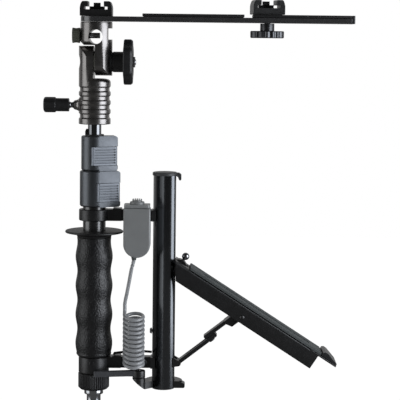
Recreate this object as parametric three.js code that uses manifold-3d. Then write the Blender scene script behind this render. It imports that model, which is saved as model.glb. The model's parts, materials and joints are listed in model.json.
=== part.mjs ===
// Camera flash bracket: a telescoping hand pole with two flip locks, a swivelling flash and umbrella
// head with a long accessory bar, a side post with a sloping camera platform on a sliding strut, and a
// wired remote release hooked on the upper arm. Millimetres, +Z up, +Y away from the viewer.
// The origin is the middle of the spigot's flat end, and the pole's axis is Z.
import * as THREE from "three";
import { mergeVertices } from "three/addons/utils/BufferGeometryUtils.js";
import Module from "manifold-3d";

const wasm = await Module();
wasm.setup();

// Clearances and cuts
const SEAT_GAP = 0.3;
const RUN_GAP = 0.4;
const BORE_GAP = 0.3;
const OVERRUN = 2;
const MERGE_DISTANCE = 0.0001;
const EDGE = 0.8;

// Facets round a circle
const FINE = 28;
const ROUND = 24;
const SMALL = 16;
const TINY = 12;

// Spigot and its knurled nut
const SPIGOT_DIAMETER = 15.9;
const SPIGOT_LENGTH = 14;
const SPIGOT_CHAMFER = 1;
const WAIST_DIAMETER = 13.6;
const WAIST_LENGTH = 9.9;
const WAIST_CONE = 1.7;
const COLLAR_DIAMETER = 18.4;
const COLLAR_LENGTH = 4.9;
const SHANK_DIAMETER = 13.4;
const PLUG_LENGTH = 14;
const NUT_DIAMETER = 30.3;
const NUT_LENGTH = 16.2;
const NUT_CHAMFER = 2;
const KNURL_DEPTH = 0.5;
const NUT_KNURLS = 44;

// Telescoping tubes
const BASE_TUBE_DIAMETER = 22;
const BASE_TUBE_WALL = 1.2;
const MIDDLE_TUBE_WALL = 1;
const MIDDLE_TUBE_STANDOFF = 5.3;
const TOP_TUBE_DIAMETER = 13;
const TOP_TUBE_WALL = 1.1;
const TOP_TUBE_STANDOFF = 18;

// Grip and hand guard
const GRIP_LENGTH = 116.7;
const GRIP_DIAMETER = 34.2;
const GRIP_SWELL = 0.9;
const FINGER_PITCH = 28.5;
const LOWEST_SWELL = 12.4;
const GRIP_FOOT_DIAMETER = 31;
const GRIP_FOOT_ROUND = 4;
const GRIP_NECK_DIAMETER = 33;
const GRIP_STATIONS = 24;
const GUARD_DIAMETER = 56.4;
const GUARD_HEIGHT = 6.1;
const GUARD_RIM = 2;

// The two arms between the pole and the post
const BARE_TUBE_LENGTH = 10;
const ARM_HEIGHT = 10.9;
const ARM_THICKNESS = 9;
const RING_DIAMETER = 29.6;
const RING_EDGE = 0.9;
const RING_DROP = 5.1;
const ROOT_LENGTH = 26.6;
const ROOT_THICKNESS = 13;
const ROOT_RISE = 1.1;
const SADDLE_LENGTH = 1.5;
const SADDLE_THICKNESS = 16;
const RING_SCREW_DIAMETER = 5.2;
const RING_SCREW_SINK = 1.3;
const RING_SCREW_PROUD = 0.5;
const RING_SCREW_OFFSET = 1;
const SOCKET_DIAMETER = 2.6;

// Side post
const POST_X = 68;
const POST_DIAMETER = 22;
const POST_WALL = 1.5;
const POST_FOOT = 30.3;
const POST_LENGTH = 210.3;
const CAP_DIAMETER = 23.8;
const CAP_HEIGHT = 3.4;
const CAP_DOME = 0.8;
const CAP_SKIRT = 1.6;
const CAP_PLUG = 9;
const CAP_TAB_REACH = 4;
const CAP_TAB_SHOULDER = 1.3;
const CAP_TAB_FALL = 2.7;
const CAP_TAB_DROP = 8;
const CAP_TAB_WIDTH = 7;
const POST_SCREW_RISE = 56.7;
const POST_SCREW_DIAMETER = 5.8;
const POST_SCREW_HEAD = 2.1;
const POST_SCREW_SHANK = 2.8;

// Quick release lever under the lower arm
const LEVER_HUB_X = 44.6;
const LEVER_HUB_Y = -12;
const LEVER_HUB_DIAMETER = 12.4;
const LEVER_HUB_HEIGHT = 5;
const LEVER_LEG_HEIGHT = 4.6;
const LEVER_LEG_FOOT_X = 51;
const LEVER_HORN_SHARE = 0.7;
const LEVER_ROOT_SHARE = 0.9;
const LEVER_TAPER = 9.3;
const LEVER_BAR_HEIGHT = 5.3;
const LEVER_BAR_WIDTH = 4.3;
const LEVER_REACH = 44.1;
const LEVER_SKEW = 10.5;
const LEVER_RISE = 2;
const HEEL_FOOT = 31.3;
const HEEL_HEIGHT = 6.8;
const HEEL_DIAMETER = 37;
const HEEL_TAB_REACH = 10.2;
const HEEL_TAB_WIDTH = 11;
const HEEL_TAB_NOSE = 4;
const HEEL_TAB_SLOPE = 6.1;
const LEVER_PIN_DIAMETER = 4.2;
const BRACE_DIAMETER = 2.4;
const BRACE_BOW = 2.2;
const BRACE_ARC = 0.75 * Math.PI;

// Flip locks
const LOWER_LOCK_DIAMETER = 28.2;
const LOWER_LOCK_HEIGHT = 34.6;
const LOWER_LOCK_REACH = 23.8;
const LOWER_LOCK_STANDOFF = 2.6;
const UPPER_LOCK_DIAMETER = 25.6;
const UPPER_LOCK_HEIGHT = 33.4;
const UPPER_LOCK_REACH = 21.3;
const LOCK_EDGE = 1;
const LOCK_CORNER = 2;
const LOCK_BACK = 4.5;
const LOCK_STRIP = 5;
const LOCK_WINDOW = 18.4;
const LOCK_TURN = THREE.MathUtils.degToRad(14);
const TUBE_STOP = 10.8;
const LEVER_PLATE = 2.8;
const LEVER_PROUD = 0.5;
const LEVER_LEFT_LOWER = -0.3;
const LEVER_LEFT_UPPER = -5.8;
const LOCK_PIVOT_INSET = 4.6;
const LOCK_PIVOT_DEPTH = 7;
const LOCK_HUB_DIAMETER = 8.4;
const LOCK_PIN_DIAMETER = 2.6;
const RIDGE_HEIGHT = 0.9;
const RIDGE_DEPTH = 0.5;
const RIDGES = 6;
const RIDGE_BORDER = 3.4;
const BORDER_SETBACK = 1.35;

// Bush and head stud
const BUSH_FLANGE = 1.4;
const BUSH_DIAMETER = 18;
const BUSH_DEPTH = 9.6;
const NUB_HEIGHT = 6.6;
const NUB_WIDTH = 4.4;
const NUB_REACH = 9.4;
const STUD_DIAMETER = 15.8;
const STUD_LENGTH = 28;
const STUD_PLUG = 16;

// Head: spigot clamp, tilting yokes and umbrella holder
const CLAMP_STANDOFF = 11.2;
const CLAMP_DIAMETER = 30.6;
const CLAMP_SHOULDER = 42.6;
const CLAMP_CROWN = 44;
const SHOULDER_ROUND = 3.2;
const CLAMP_EDGE = 0.9;
const GROOVES = 4;
const GROOVE_PITCH = 8.5;
const GROOVE_WIDTH = 4.3;
const GROOVE_DEPTH = 0.6;
const FIRST_GROOVE = 8;
const CLAMP_BORE_DEPTH = 29.5;
const CLAMP_SCREW_HEIGHT = 18.1;
const CLAMP_SCREW_DIAMETER = 6.5;
const CLAMP_SCREW_BARE = 5;
const BOSS_REACH = 19.6;
const BOSS_DIAMETER = 15.2;
const BOSS_TIP_DIAMETER = 8.6;
const BOSS_NECK_DIAMETER = 10.4;
const KNOB_BARREL_LENGTH = 12.6;
const KNOB_BARREL_DIAMETER = 12.7;
const KNOB_HEAD_LENGTH = 11.8;
const KNOB_HEAD_DIAMETER = 14.8;
const KNOB_FLUTES = 10;
const FLUTE_DEPTH = 0.5;
const YOKE_CLEARANCE = 2.5;
const YOKE_HALF_WIDTH = 13.9;
const LOWER_YOKE_TOP = 15.1;
const LOWER_YOKE_ROUND = 14;
const UPPER_YOKE_BOTTOM = 13.1;
const UPPER_YOKE_ROUND = 10.1;
const YOKE_FACE = 0.8;
const WASHER_DIAMETER = 20.6;
const WASHER_THICKNESS = 1;
const BOLT_DIAMETER = 6;
const BOLT_HEAD_DIAMETER = 13;
const BOLT_HEAD_LENGTH = 3;
const BOLT_POCKET_FACE = 11.3;
const HEX_KEY_SIZE = 5;
const HEX_KEY_DEPTH = 1.8;
const HEAD_OFFSET = 1.4;
const HEAD_DIAMETER = 30.6;
const HEAD_UNDERSIDE = 15.9;
const HEAD_CONE = 3.2;
const HEAD_TOP = 38.1;
const HEAD_ROUND = 3;
const HEAD_GROOVE_DROP = 4.4;
const HEAD_GROOVE = 0.5;
const UMBRELLA_HOLE_DIAMETER = 13.8;
const UMBRELLA_HOLE_HEIGHT = 23.8;
const UMBRELLA_SCREW_HEIGHT = 24.9;
const UMBRELLA_SCREW_DIAMETER = 5.3;
const UMBRELLA_SCREW_TIP = 4.9;
const UMBRELLA_KNOB_DIAMETER = 14.8;
const UMBRELLA_KNOB_LENGTH = 7.3;
const UMBRELLA_KNOB_RIM = 2.4;
const UMBRELLA_KNOB_FACE = 14.2;
const UMBRELLA_KNURLS = 20;
const EAR_RELIEF = 12.2;
const EAR_GAP = 10.6;
const EAR_GAP_FOOT = 21.2;
const SPOT_FACE = 14.2;
const SPOT_RADIUS = 12.9;
const SPOT_RISE = 2.1;
const TILT_FLANGE_DIAMETER = 20.2;
const TILT_FLANGE_LENGTH = 2.4;
const TILT_SLEEVE_DIAMETER = 19.6;
const TILT_SLEEVE_LENGTH = 10.8;
const TILT_KNOB_DIAMETER = 43.4;
const TILT_KNOB_LENGTH = 8.7;
const TILT_KNOB_VALLEY = 2.6;
const TILT_KNOB_LOBES = 6;
const TILT_KNOB_DISH = 1.4;
const TILT_KNOB_EDGE = 1;
const TILT_NUT_DIAMETER = 11.6;
const TILT_NUT_LENGTH = 1.8;

// Flash bar, its pads and the two accessory shoes
const BAR_THICKNESS = 4.8;
const BAR_WIDTH = 30;
const BAR_END_X = 244;
const PAD_THICKNESS = 3;
const PAD_CORNER = 1;
const INNER_PAD_START = 45.7;
const INNER_PAD_END = 142.2;
const OUTER_PAD_START = 150.3;
const BAR_SLOT_WIDTH = 6.8;
const BAR_SLOT_START = 154.6;
const BAR_SLOT_END = 237.6;
const BAR_CAP_LENGTH = 2.7;
const SHOE_WIDTH = 30.6;
const SHOE_DEPTH = 20;
const SHOE_HEIGHT = 13.9;
const SHOE_FLOOR = 6.1;
const SHOE_SLOT_WIDTH = 22;
const SHOE_SLOT_HEIGHT = 2.9;
const SHOE_LIP_GAP = 15;
const SHOE_SHOULDER = 3.8;
const SHOE_SHOULDER_DROP = 6.1;
const SHOE_STOP_DEPTH = 3;
const SHOE_STOP_WIDTH = 14.6;
const SHOE_STOP_HEIGHT = 3.1;
const SHOE_TAB_WIDTH = 6.6;
const SHOE_TAB_HEIGHT = 6.6;
const SHOE_SWIVEL = 8;
const RIGHT_SHOE_X = 164.4;
const SHOE_STUD_DIAMETER = 5.8;
const WHEEL_STEM_DIAMETER = 13.6;
const WHEEL_STEM_LENGTH = 7;
const WHEEL_DIAMETER = 32.7;
const WHEEL_HEIGHT = 6.8;
const WHEEL_FLUTES = 18;
const WHEEL_FLUTE_DEPTH = 0.8;

// Camera platform, its hinge and strut
const HINGE_X = 81.8;
const HINGE_Z = 149.6;
const PLATFORM_SLOPE = 32.8;
const PLATFORM_WIDTH = 32;
const PLATE_TOP = 6;
const SHEET = 1.8;
const CHANNEL_HEIGHT = 16.5;
const PLATE_LENGTH = 179.5;
const PLATE_LIP = 20.1;
const CHANNEL_POST_GAP = 0.4;
const LUG_RADIUS = 8.6;
const LUG_WIDTH = 10;
const LUG_NECK_BELOW = 6;
const HINGE_HUB_RADIUS = 3.7;
const HINGE_PIN_DIAMETER = 4;
const PIN_HEAD_THICKNESS = 1;
const PIN_HEAD_RADIUS = 2.9;
const CAMERA_PAD_START = 9;
const CAMERA_PAD_THICKNESS = 2.4;
const CAMERA_PAD_RIB = 0.4;
const CAMERA_PAD_RIB_PITCH = 2.9;
const CAMERA_PAD_FIRST_RIB = 5.4;
const CAMERA_SLOT_WIDTH = 6.8;
const CAMERA_SLOT_START = 22;
const CAMERA_SLOT_INSET = 13.4;
const END_STOP_LENGTH = 17;
const END_STOP_INSET = 0.5;
const END_STOP_HEIGHT = 5;
const END_STOP_LOW = 1.2;
const END_STOP_NOSE = 3.6;
const END_STOP_CREST = 4.8;
const END_STOP_BEVEL = 1.7;
const BALL_DIAMETER = 7.3;
const BALL_HEIGHT = 12.9;
const BALL_STEM_DIAMETER = 3;
const STRUT_FOOT_X = 82.3;
const STRUT_FOOT_Z = 56;
const STRUT_TOP_X = 143.9;
const STRUT_TOP_Z = 103.8;
const STRUT_THICKNESS = 3.7;
const STRUT_WIDTH = 10;
const STRUT_LOWER_LENGTH = 47;
const STRUT_UPPER_LENGTH = 42.5;
const STRUT_EYE_RADIUS = 2.9;
const STRUT_PIN_DIAMETER = 2.8;
const STRUT_TOP_PIN_DIAMETER = 3.2;
const STRUT_TOP_CLEARANCE = 0.8;
const STRUT_SLOT_WIDTH = 4.4;
const STRUT_TRAVEL = 27.2;
const STRUT_CHEEK = 1.9;
const STRUT_CHEEK_LENGTH = 17;
const STRUT_CHEEK_DROP = 2.9;
const STRUT_EYE_END = 3.9;
const RIVET_DIAMETER = 3.4;
const RIVET_HEAD_DIAMETER = 6;
const RIVET_HEAD_THICKNESS = 1.1;
const RIVET_INSET = 4.4;
const CLEVIS_EAR = 2;
const CLEVIS_HEIGHT = 10;

// Remote release
const REMOTE_X = 42;
const REMOTE_WIDTH = 25.8;
const REMOTE_DEPTH = 17;
const REMOTE_DROP = 33.7;
const REMOTE_HEIGHT = 48;
const REMOTE_EDGE = 1.2;
const REMOTE_CAP_HEIGHT = 2.8;
const BUTTON_BASE_DIAMETER = 14;
const BUTTON_BASE_HEIGHT = 2.6;
const BUTTON_DIAMETER = 9.4;
const BUTTON_HEIGHT = 4.1;
const BUTTON_TRAVEL_GAP = 1.9;
const BUTTON_RIBS = 4;
const BUTTON_RIB_DEPTH = 0.8;
const CLIP_WIDTH = 11;
const CLIP_THICKNESS = 2;
const CLIP_DROP = 17;

// Remote cord: a straight lead, then curls down to a socket on the lower arm
const CORD_DIAMETER = 3.5;
const RELIEF_DIAMETER = 5.4;
const RELIEF_LENGTH = 3;
const RELIEF_X = 39.2;
const CURL_RADIUS = 9;
const CURL_PITCH = 4.25;
const CURL_TURNS = 11.5;
const CURL_STEPS = 8;
const CURL_SIDES = 5;
const CURL_X = 39.6;
const CURL_Y = -16.5;
const CURL_BEND = 4.4;
const CURL_LEAN = 0.3;
const CURL_LEAD = 4.9;
const CURL_LEVEL_SHARE = 0.25;
const LEAD_SIDES = 8;
const SOCKET_OUTER_DIAMETER = 7.2;
const SOCKET_LENGTH = 3.2;
const SOCKET_HEIGHT = 5.9;
// The lead's route, chosen by hand from the remote's foot to the first curl
const LEAD_ROUTE = [
  [39.2, -13.3, 158],
  [39.2, -13.3, 152.5],
  [38.2, -13.3, 146],
  [36.4, -13.2, 139],
  [34.5, -12.9, 132],
  [32.6, -12.5, 125.5],
  [31.1, -12.2, 120.5],
  [30.6, -12.1, 115.1],
];

// Heights that follow from the sizes above
const WAIST_FOOT = SPIGOT_LENGTH;
const COLLAR_FOOT = WAIST_FOOT + WAIST_LENGTH;
const COLLAR_TOP = COLLAR_FOOT + COLLAR_LENGTH;
const NUT_FOOT = COLLAR_TOP + SEAT_GAP;
const NUT_TOP = NUT_FOOT + NUT_LENGTH;
const LOWER_RING_FOOT = NUT_TOP + SEAT_GAP;
const LOWER_ARM_FOOT = LOWER_RING_FOOT + RING_DROP;
const LOWER_ARM_TOP = LOWER_ARM_FOOT + ARM_HEIGHT;
const GRIP_FOOT = LOWER_ARM_TOP + SEAT_GAP;
const GUARD_FOOT = GRIP_FOOT + GRIP_LENGTH + SEAT_GAP;
const GUARD_TOP = GUARD_FOOT + GUARD_HEIGHT;
const UPPER_ARM_FOOT = GUARD_TOP + BARE_TUBE_LENGTH;
const UPPER_ARM_TOP = UPPER_ARM_FOOT + ARM_HEIGHT;
const REMOTE_FOOT = UPPER_ARM_FOOT - REMOTE_DROP;
const LOWER_LOCK_FOOT = UPPER_ARM_TOP + LOWER_LOCK_STANDOFF;
const LOWER_LOCK_TOP = LOWER_LOCK_FOOT + LOWER_LOCK_HEIGHT;
const UPPER_LOCK_FOOT = LOWER_LOCK_TOP + SEAT_GAP;
const UPPER_LOCK_TOP = UPPER_LOCK_FOOT + UPPER_LOCK_HEIGHT;
const CLAMP_FOOT = UPPER_LOCK_TOP + CLAMP_STANDOFF;
const TILT_HEIGHT = CLAMP_CROWN + UPPER_YOKE_BOTTOM + YOKE_CLEARANCE;
const TILT_Z = CLAMP_FOOT + TILT_HEIGHT;
const POST_TOP = POST_FOOT + POST_LENGTH;
const BASE_TUBE_RADIUS = BASE_TUBE_DIAMETER / 2;
const BASE_TUBE_BORE = BASE_TUBE_RADIUS - BASE_TUBE_WALL;
const MIDDLE_TUBE_RADIUS = BASE_TUBE_BORE - BORE_GAP;
const MIDDLE_TUBE_BORE = MIDDLE_TUBE_RADIUS - MIDDLE_TUBE_WALL;
const TOP_TUBE_RADIUS = TOP_TUBE_DIAMETER / 2;
const TOP_TUBE_BORE = TOP_TUBE_RADIUS - TOP_TUBE_WALL;
const POST_RADIUS = POST_DIAMETER / 2;
const POST_BORE = POST_RADIUS - POST_WALL;
const BAR_FOOT = HEAD_TOP + SEAT_GAP;
const BAR_TOP = BAR_FOOT + BAR_THICKNESS;

// Materials
function finish(color, roughness, metalness) {
  return new THREE.MeshStandardMaterial({ color, roughness, metalness });
}
const blackAnodised = finish(0x1b1c1e, 0.35, 0.7);
const blackPaint = finish(0x202123, 0.55, 0.2);
const gunmetal = finish(0x2e2c2a, 0.22, 0.9);
const blackPlastic = finish(0x26282b, 0.5, 0);
const softBlack = finish(0x1d1d1e, 0.8, 0);
const chrome = finish(0xd5d6d8, 0.12, 1);
const steel = finish(0x8d8f91, 0.3, 1);
const greyPlastic = finish(0x5c5e5e, 0.6, 0);
const greyRubber = finish(0x7c7f7e, 0.75, 0);
const cordGrey = finish(0x8b8e8d, 0.5, 0);

// Closed surface and solid, each way

function solidOf(geometry) {
  const bare = geometry.clone();
  bare.deleteAttribute("normal");
  bare.deleteAttribute("uv");
  const merged = mergeVertices(bare, MERGE_DISTANCE);
  const corners = merged.index.array;
  const kept = [];
  for (let i = 0; i < corners.length; i += 3) {
    const [a, b, c] = [corners[i], corners[i + 1], corners[i + 2]];
    if (a !== b && b !== c && c !== a) kept.push(a, b, c);
  }
  return new wasm.Manifold(
    new wasm.Mesh({
      numProp: 3,
      vertProperties: merged.attributes.position.array,
      triVerts: Uint32Array.from(kept),
    }),
  );
}

function geometryOf(solid) {
  const mesh = solid.getMesh();
  const geometry = new THREE.BufferGeometry();
  geometry.setAttribute("position", new THREE.BufferAttribute(mesh.vertProperties.slice(), 3));
  geometry.setIndex(new THREE.BufferAttribute(mesh.triVerts.slice(), 1));
  geometry.computeVertexNormals();
  return geometry;
}

function joined(...shapes) {
  return geometryOf(shapes.map(solidOf).reduce((whole, next) => whole.add(next)));
}

function cut(shape, ...tools) {
  return geometryOf(tools.map(solidOf).reduce((whole, tool) => whole.subtract(tool), solidOf(shape)));
}

function common(first, second) {
  return geometryOf(solidOf(first).intersect(solidOf(second)));
}

// Basic forms

// A revolved solid about Z. The profile is [radius, height] pairs, going up the outside.
function turned(profile, sides = ROUND) {
  const points = profile.map(([radius, height]) => new THREE.Vector2(radius, height));
  return new THREE.LatheGeometry(points, sides).rotateX(Math.PI / 2);
}

// A revolved solid about X: the profile is [radius, distance along X] pairs.
function turnedX(profile, sides = ROUND) {
  return turned(profile, sides).rotateY(Math.PI / 2);
}

function ring(outer, inner, foot, top, sides = ROUND) {
  return turned([[inner, foot], [outer, foot], [outer, top], [inner, top], [inner, foot]], sides);
}

function rod(radius, foot, top, sides = ROUND) {
  return turned([[0, foot], [radius, foot], [radius, top], [0, top]], sides);
}

// A rod with a small chamfer at both ends
function edgedRod(radius, foot, top, edge, sides = ROUND) {
  return turned(
    [
      [0, foot],
      [radius - edge, foot],
      [radius, foot + edge],
      [radius, top - edge],
      [radius - edge, top],
      [0, top],
    ],
    sides,
  );
}

function block(fromX, toX, fromY, toY, fromZ, toZ) {
  return new THREE.BoxGeometry(toX - fromX, toY - fromY, toZ - fromZ).translate(
    (fromX + toX) / 2,
    (fromY + toY) / 2,
    (fromZ + toZ) / 2,
  );
}

function outlineOf(points) {
  return new THREE.Shape(points.map(([x, y]) => new THREE.Vector2(x, y)));
}

// A plan outline in X and Y, raised from foot to top
function plate(shape, foot, top, curve = SMALL) {
  const outline = Array.isArray(shape) ? outlineOf(shape) : shape;
  return new THREE.ExtrudeGeometry(outline, {
    depth: top - foot,
    bevelEnabled: false,
    curveSegments: curve,
  }).translate(0, 0, foot);
}

// A side outline in X and Z, centred on Y = 0 with the given width
function slab(shape, width, curve = SMALL) {
  return plate(shape, 0, width, curve)
    .rotateX(Math.PI / 2)
    .translate(0, width / 2, 0);
}

// A round hole or pin along Y through a point of the XZ plane
function crossRod(radius, x, z, width, sides = SMALL) {
  return rod(radius, -width / 2, width / 2, sides)
    .rotateX(Math.PI / 2)
    .translate(x, 0, z);
}

// A wavy outline: lobes or flutes round a circle
function lobedShape(radius, depth, lobes, steps) {
  const points = [];
  for (let i = 0; i < lobes * steps; i++) {
    const turn = (i / (lobes * steps)) * 2 * Math.PI;
    const reach = radius - (depth * (1 - Math.cos(turn * lobes))) / 2;
    points.push([reach * Math.cos(turn), reach * Math.sin(turn)]);
  }
  return outlineOf(points);
}

function roundedRectangle(width, depth, corner) {
  const shape = new THREE.Shape();
  const x = width / 2;
  const y = depth / 2;
  shape.moveTo(corner - x, -y);
  shape.lineTo(x - corner, -y);
  shape.absarc(x - corner, corner - y, corner, -Math.PI / 2, 0, false);
  shape.lineTo(x, y - corner);
  shape.absarc(x - corner, y - corner, corner, 0, Math.PI / 2, false);
  shape.lineTo(corner - x, y);
  shape.absarc(corner - x, y - corner, corner, Math.PI / 2, Math.PI, false);
  shape.lineTo(-x, corner - y);
  shape.absarc(corner - x, corner - y, corner, Math.PI, 1.5 * Math.PI, false);
  return shape;
}

// A long slot with round ends, from one X to another
function slotShape(fromX, toX, width) {
  const radius = width / 2;
  const shape = new THREE.Shape();
  shape.absarc(toX - radius, 0, radius, -Math.PI / 2, Math.PI / 2, false);
  shape.absarc(fromX + radius, 0, radius, Math.PI / 2, 1.5 * Math.PI, false);
  return shape;
}

// A round tube along points, closed by flat ends. The rings keep their turn from step to step.
function tubeAlong(points, radius, sides) {
  const path = points.map(([x, y, z]) => new THREE.Vector3(x, y, z));
  const vertices = [];
  const faces = [];
  let side = null;
  path.forEach((point, i) => {
    const before = path[Math.max(i - 1, 0)];
    const after = path[Math.min(i + 1, path.length - 1)];
    const along = after.clone().sub(before).normalize();
    if (!side) side = Math.abs(along.x) < 0.9 ? new THREE.Vector3(1, 0, 0) : new THREE.Vector3(0, 1, 0);
    side = side.clone().addScaledVector(along, -side.dot(along)).normalize();
    const across = along.clone().cross(side);
    for (let k = 0; k < sides; k++) {
      const turn = (k / sides) * 2 * Math.PI;
      const vertex = point
        .clone()
        .addScaledVector(side, radius * Math.cos(turn))
        .addScaledVector(across, radius * Math.sin(turn));
      vertices.push(vertex.x, vertex.y, vertex.z);
    }
  });
  for (let i = 0; i + 1 < path.length; i++) {
    for (let k = 0; k < sides; k++) {
      const a = i * sides + k;
      const b = i * sides + ((k + 1) % sides);
      faces.push(a, b, a + sides, b, b + sides, a + sides);
    }
  }
  const last = (path.length - 1) * sides;
  for (let k = 1; k + 1 < sides; k++) {
    faces.push(0, k + 1, k, last, last + k, last + k + 1);
  }
  const geometry = new THREE.BufferGeometry();
  geometry.setAttribute("position", new THREE.BufferAttribute(new Float32Array(vertices), 3));
  geometry.setIndex(faces);
  return geometry;
}

function piece(group, name, geometry, material) {
  const mesh = new THREE.Mesh(geometryOf(solidOf(geometry)), material);
  mesh.name = name;
  group.add(mesh);
}

function placed(parent, x, y, z) {
  const group = new THREE.Group();
  group.position.set(x, y, z);
  parent.add(group);
  return group;
}

const bracket = new THREE.Group();

// Pole foot

function addSpigot() {
  const end = SPIGOT_DIAMETER / 2;
  const waist = WAIST_DIAMETER / 2;
  const collar = COLLAR_DIAMETER / 2;
  const shank = SHANK_DIAMETER / 2;
  const plug = BASE_TUBE_BORE - BORE_GAP;
  const plugFoot = LOWER_RING_FOOT;
  const profile = [
    [0, 0],
    [end - SPIGOT_CHAMFER, 0],
    [end, SPIGOT_CHAMFER],
    [end, WAIST_FOOT],
    [waist, WAIST_FOOT + WAIST_CONE],
    [waist, COLLAR_FOOT - WAIST_CONE],
    [collar - EDGE, COLLAR_FOOT],
    [collar, COLLAR_FOOT + EDGE],
    [collar, COLLAR_TOP],
    [shank, COLLAR_TOP],
    [shank, plugFoot],
    [plug, plugFoot],
    [plug, plugFoot + PLUG_LENGTH],
    [0, plugFoot + PLUG_LENGTH],
  ];
  piece(bracket, "spigot", turned(profile, FINE), steel);
}

function addBaseNut() {
  const radius = NUT_DIAMETER / 2;
  const bore = SHANK_DIAMETER / 2 + BORE_GAP;
  const knurled = plate(lobedShape(radius, KNURL_DEPTH, NUT_KNURLS, 2), NUT_FOOT, NUT_TOP);
  const envelope = turned(
    [
      [bore, NUT_FOOT],
      [radius - NUT_CHAMFER, NUT_FOOT],
      [radius, NUT_FOOT + NUT_CHAMFER],
      [radius, NUT_TOP - EDGE],
      [radius - EDGE, NUT_TOP],
      [bore, NUT_TOP],
      [bore, NUT_FOOT],
    ],
    FINE,
  );
  piece(bracket, "base_nut", common(knurled, envelope), blackAnodised);
}

function addBaseTube() {
  const tube = ring(BASE_TUBE_RADIUS, BASE_TUBE_BORE, LOWER_RING_FOOT, LOWER_LOCK_TOP - TUBE_STOP, FINE);
  piece(bracket, "base_tube", tube, blackAnodised);
}

function addGrip() {
  const bore = BASE_TUBE_RADIUS + BORE_GAP;
  const top = GRIP_FOOT + GRIP_LENGTH;
  const swellEnd = GRIP_LENGTH - EDGE;
  const profile = [
    [bore, GRIP_FOOT],
    [GRIP_FOOT_DIAMETER / 2, GRIP_FOOT],
  ];
  for (let i = 0; i <= GRIP_STATIONS; i++) {
    const rise = GRIP_FOOT_ROUND + (i / GRIP_STATIONS) * (swellEnd - GRIP_FOOT_ROUND);
    const wave = Math.cos(((rise - LOWEST_SWELL) / FINGER_PITCH) * 2 * Math.PI);
    profile.push([GRIP_DIAMETER / 2 + GRIP_SWELL * wave, GRIP_FOOT + rise]);
  }
  profile.push([GRIP_NECK_DIAMETER / 2, top], [bore, top], [bore, GRIP_FOOT]);
  piece(bracket, "grip", turned(profile, FINE), softBlack);
}

function addHandGuard() {
  const bore = BASE_TUBE_RADIUS + BORE_GAP;
  const neck = GRIP_NECK_DIAMETER / 2;
  const rim = GUARD_DIAMETER / 2;
  const under = GUARD_TOP - GUARD_RIM;
  const profile = [
    [bore, GUARD_FOOT],
    [neck, GUARD_FOOT],
  ];
  const flare = rim - GUARD_RIM - neck;
  const steps = 5;
  for (let i = 1; i <= steps; i++) {
    const turn = (i / steps) * (Math.PI / 2);
    profile.push([neck + flare * (1 - Math.cos(turn)), GUARD_FOOT + (under - GUARD_FOOT) * Math.sin(turn)]);
  }
  profile.push(
    [rim - GUARD_RIM / 2, under],
    [rim, under + GUARD_RIM / 2],
    [rim - GUARD_RIM / 4, GUARD_TOP],
    [bore, GUARD_TOP],
    [bore, GUARD_FOOT],
  );
  piece(bracket, "hand_guard", turned(profile, FINE), softBlack);
}

// Arms: a ring on the pole, a thick root, a web and a saddle that seats on the post
function armGeometry(foot, ringFoot) {
  const top = foot + ARM_HEIGHT;
  const radius = RING_DIAMETER / 2;
  const bore = BASE_TUBE_RADIUS + BORE_GAP;
  const collar = edgedRod(radius, ringFoot, top, RING_EDGE, FINE);
  const root = block(bore, ROOT_LENGTH, -ROOT_THICKNESS / 2, ROOT_THICKNESS / 2, foot, top);
  const clearOfGrip = GRIP_DIAMETER / 2 + GRIP_SWELL + RUN_GAP;
  const rootHalf = ROOT_THICKNESS / 2;
  const step = block(clearOfGrip, ROOT_LENGTH, -rootHalf, rootHalf, foot, top + ROOT_RISE);
  const web = block(bore, POST_X, -ARM_THICKNESS / 2, ARM_THICKNESS / 2, foot, top);
  const saddleStart = POST_X - POST_RADIUS - SADDLE_LENGTH;
  const saddle = block(saddleStart, POST_X, -SADDLE_THICKNESS / 2, SADDLE_THICKNESS / 2, foot, top);
  const postSeat = rod(POST_RADIUS + SEAT_GAP, foot - OVERRUN, top + OVERRUN, FINE).translate(POST_X, 0, 0);
  const beyond = block(
    POST_X - SADDLE_THICKNESS / 4,
    POST_X + OVERRUN,
    -SADDLE_THICKNESS,
    SADDLE_THICKNESS,
    foot - OVERRUN,
    top + OVERRUN,
  );
  const poleBore = rod(bore, ringFoot - OVERRUN, top + ROOT_RISE + OVERRUN, FINE);
  const trunk = joined(web, saddle);
  return cut(joined(collar, root, step, trunk), poleBore, postSeat, beyond);
}

function addArms() {
  const radius = RING_DIAMETER / 2;
  const screwZ = LOWER_ARM_FOOT + ARM_HEIGHT / 2;
  const pocket = rod(RING_SCREW_DIAMETER / 2 + SEAT_GAP, radius - RING_SCREW_SINK, radius + OVERRUN, SMALL)
    .rotateX(Math.PI / 2)
    .translate(-RING_SCREW_OFFSET, 0, screwZ);
  piece(bracket, "lower_arm", cut(armGeometry(LOWER_ARM_FOOT, LOWER_RING_FOOT), pocket), blackPaint);
  piece(bracket, "upper_arm", armGeometry(UPPER_ARM_FOOT, UPPER_ARM_FOOT), blackPaint);

  const head = edgedRod(
    RING_SCREW_DIAMETER / 2,
    radius - RING_SCREW_SINK + SEAT_GAP,
    radius + RING_SCREW_PROUD,
    SEAT_GAP,
    SMALL,
  );
  const socket = rod(SOCKET_DIAMETER / 2, radius - SEAT_GAP, radius + OVERRUN, 6);
  const screw = cut(head, socket).rotateX(Math.PI / 2).translate(-RING_SCREW_OFFSET, 0, screwZ);
  piece(bracket, "ring_screw", screw, steel);
}

// Side post

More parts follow.
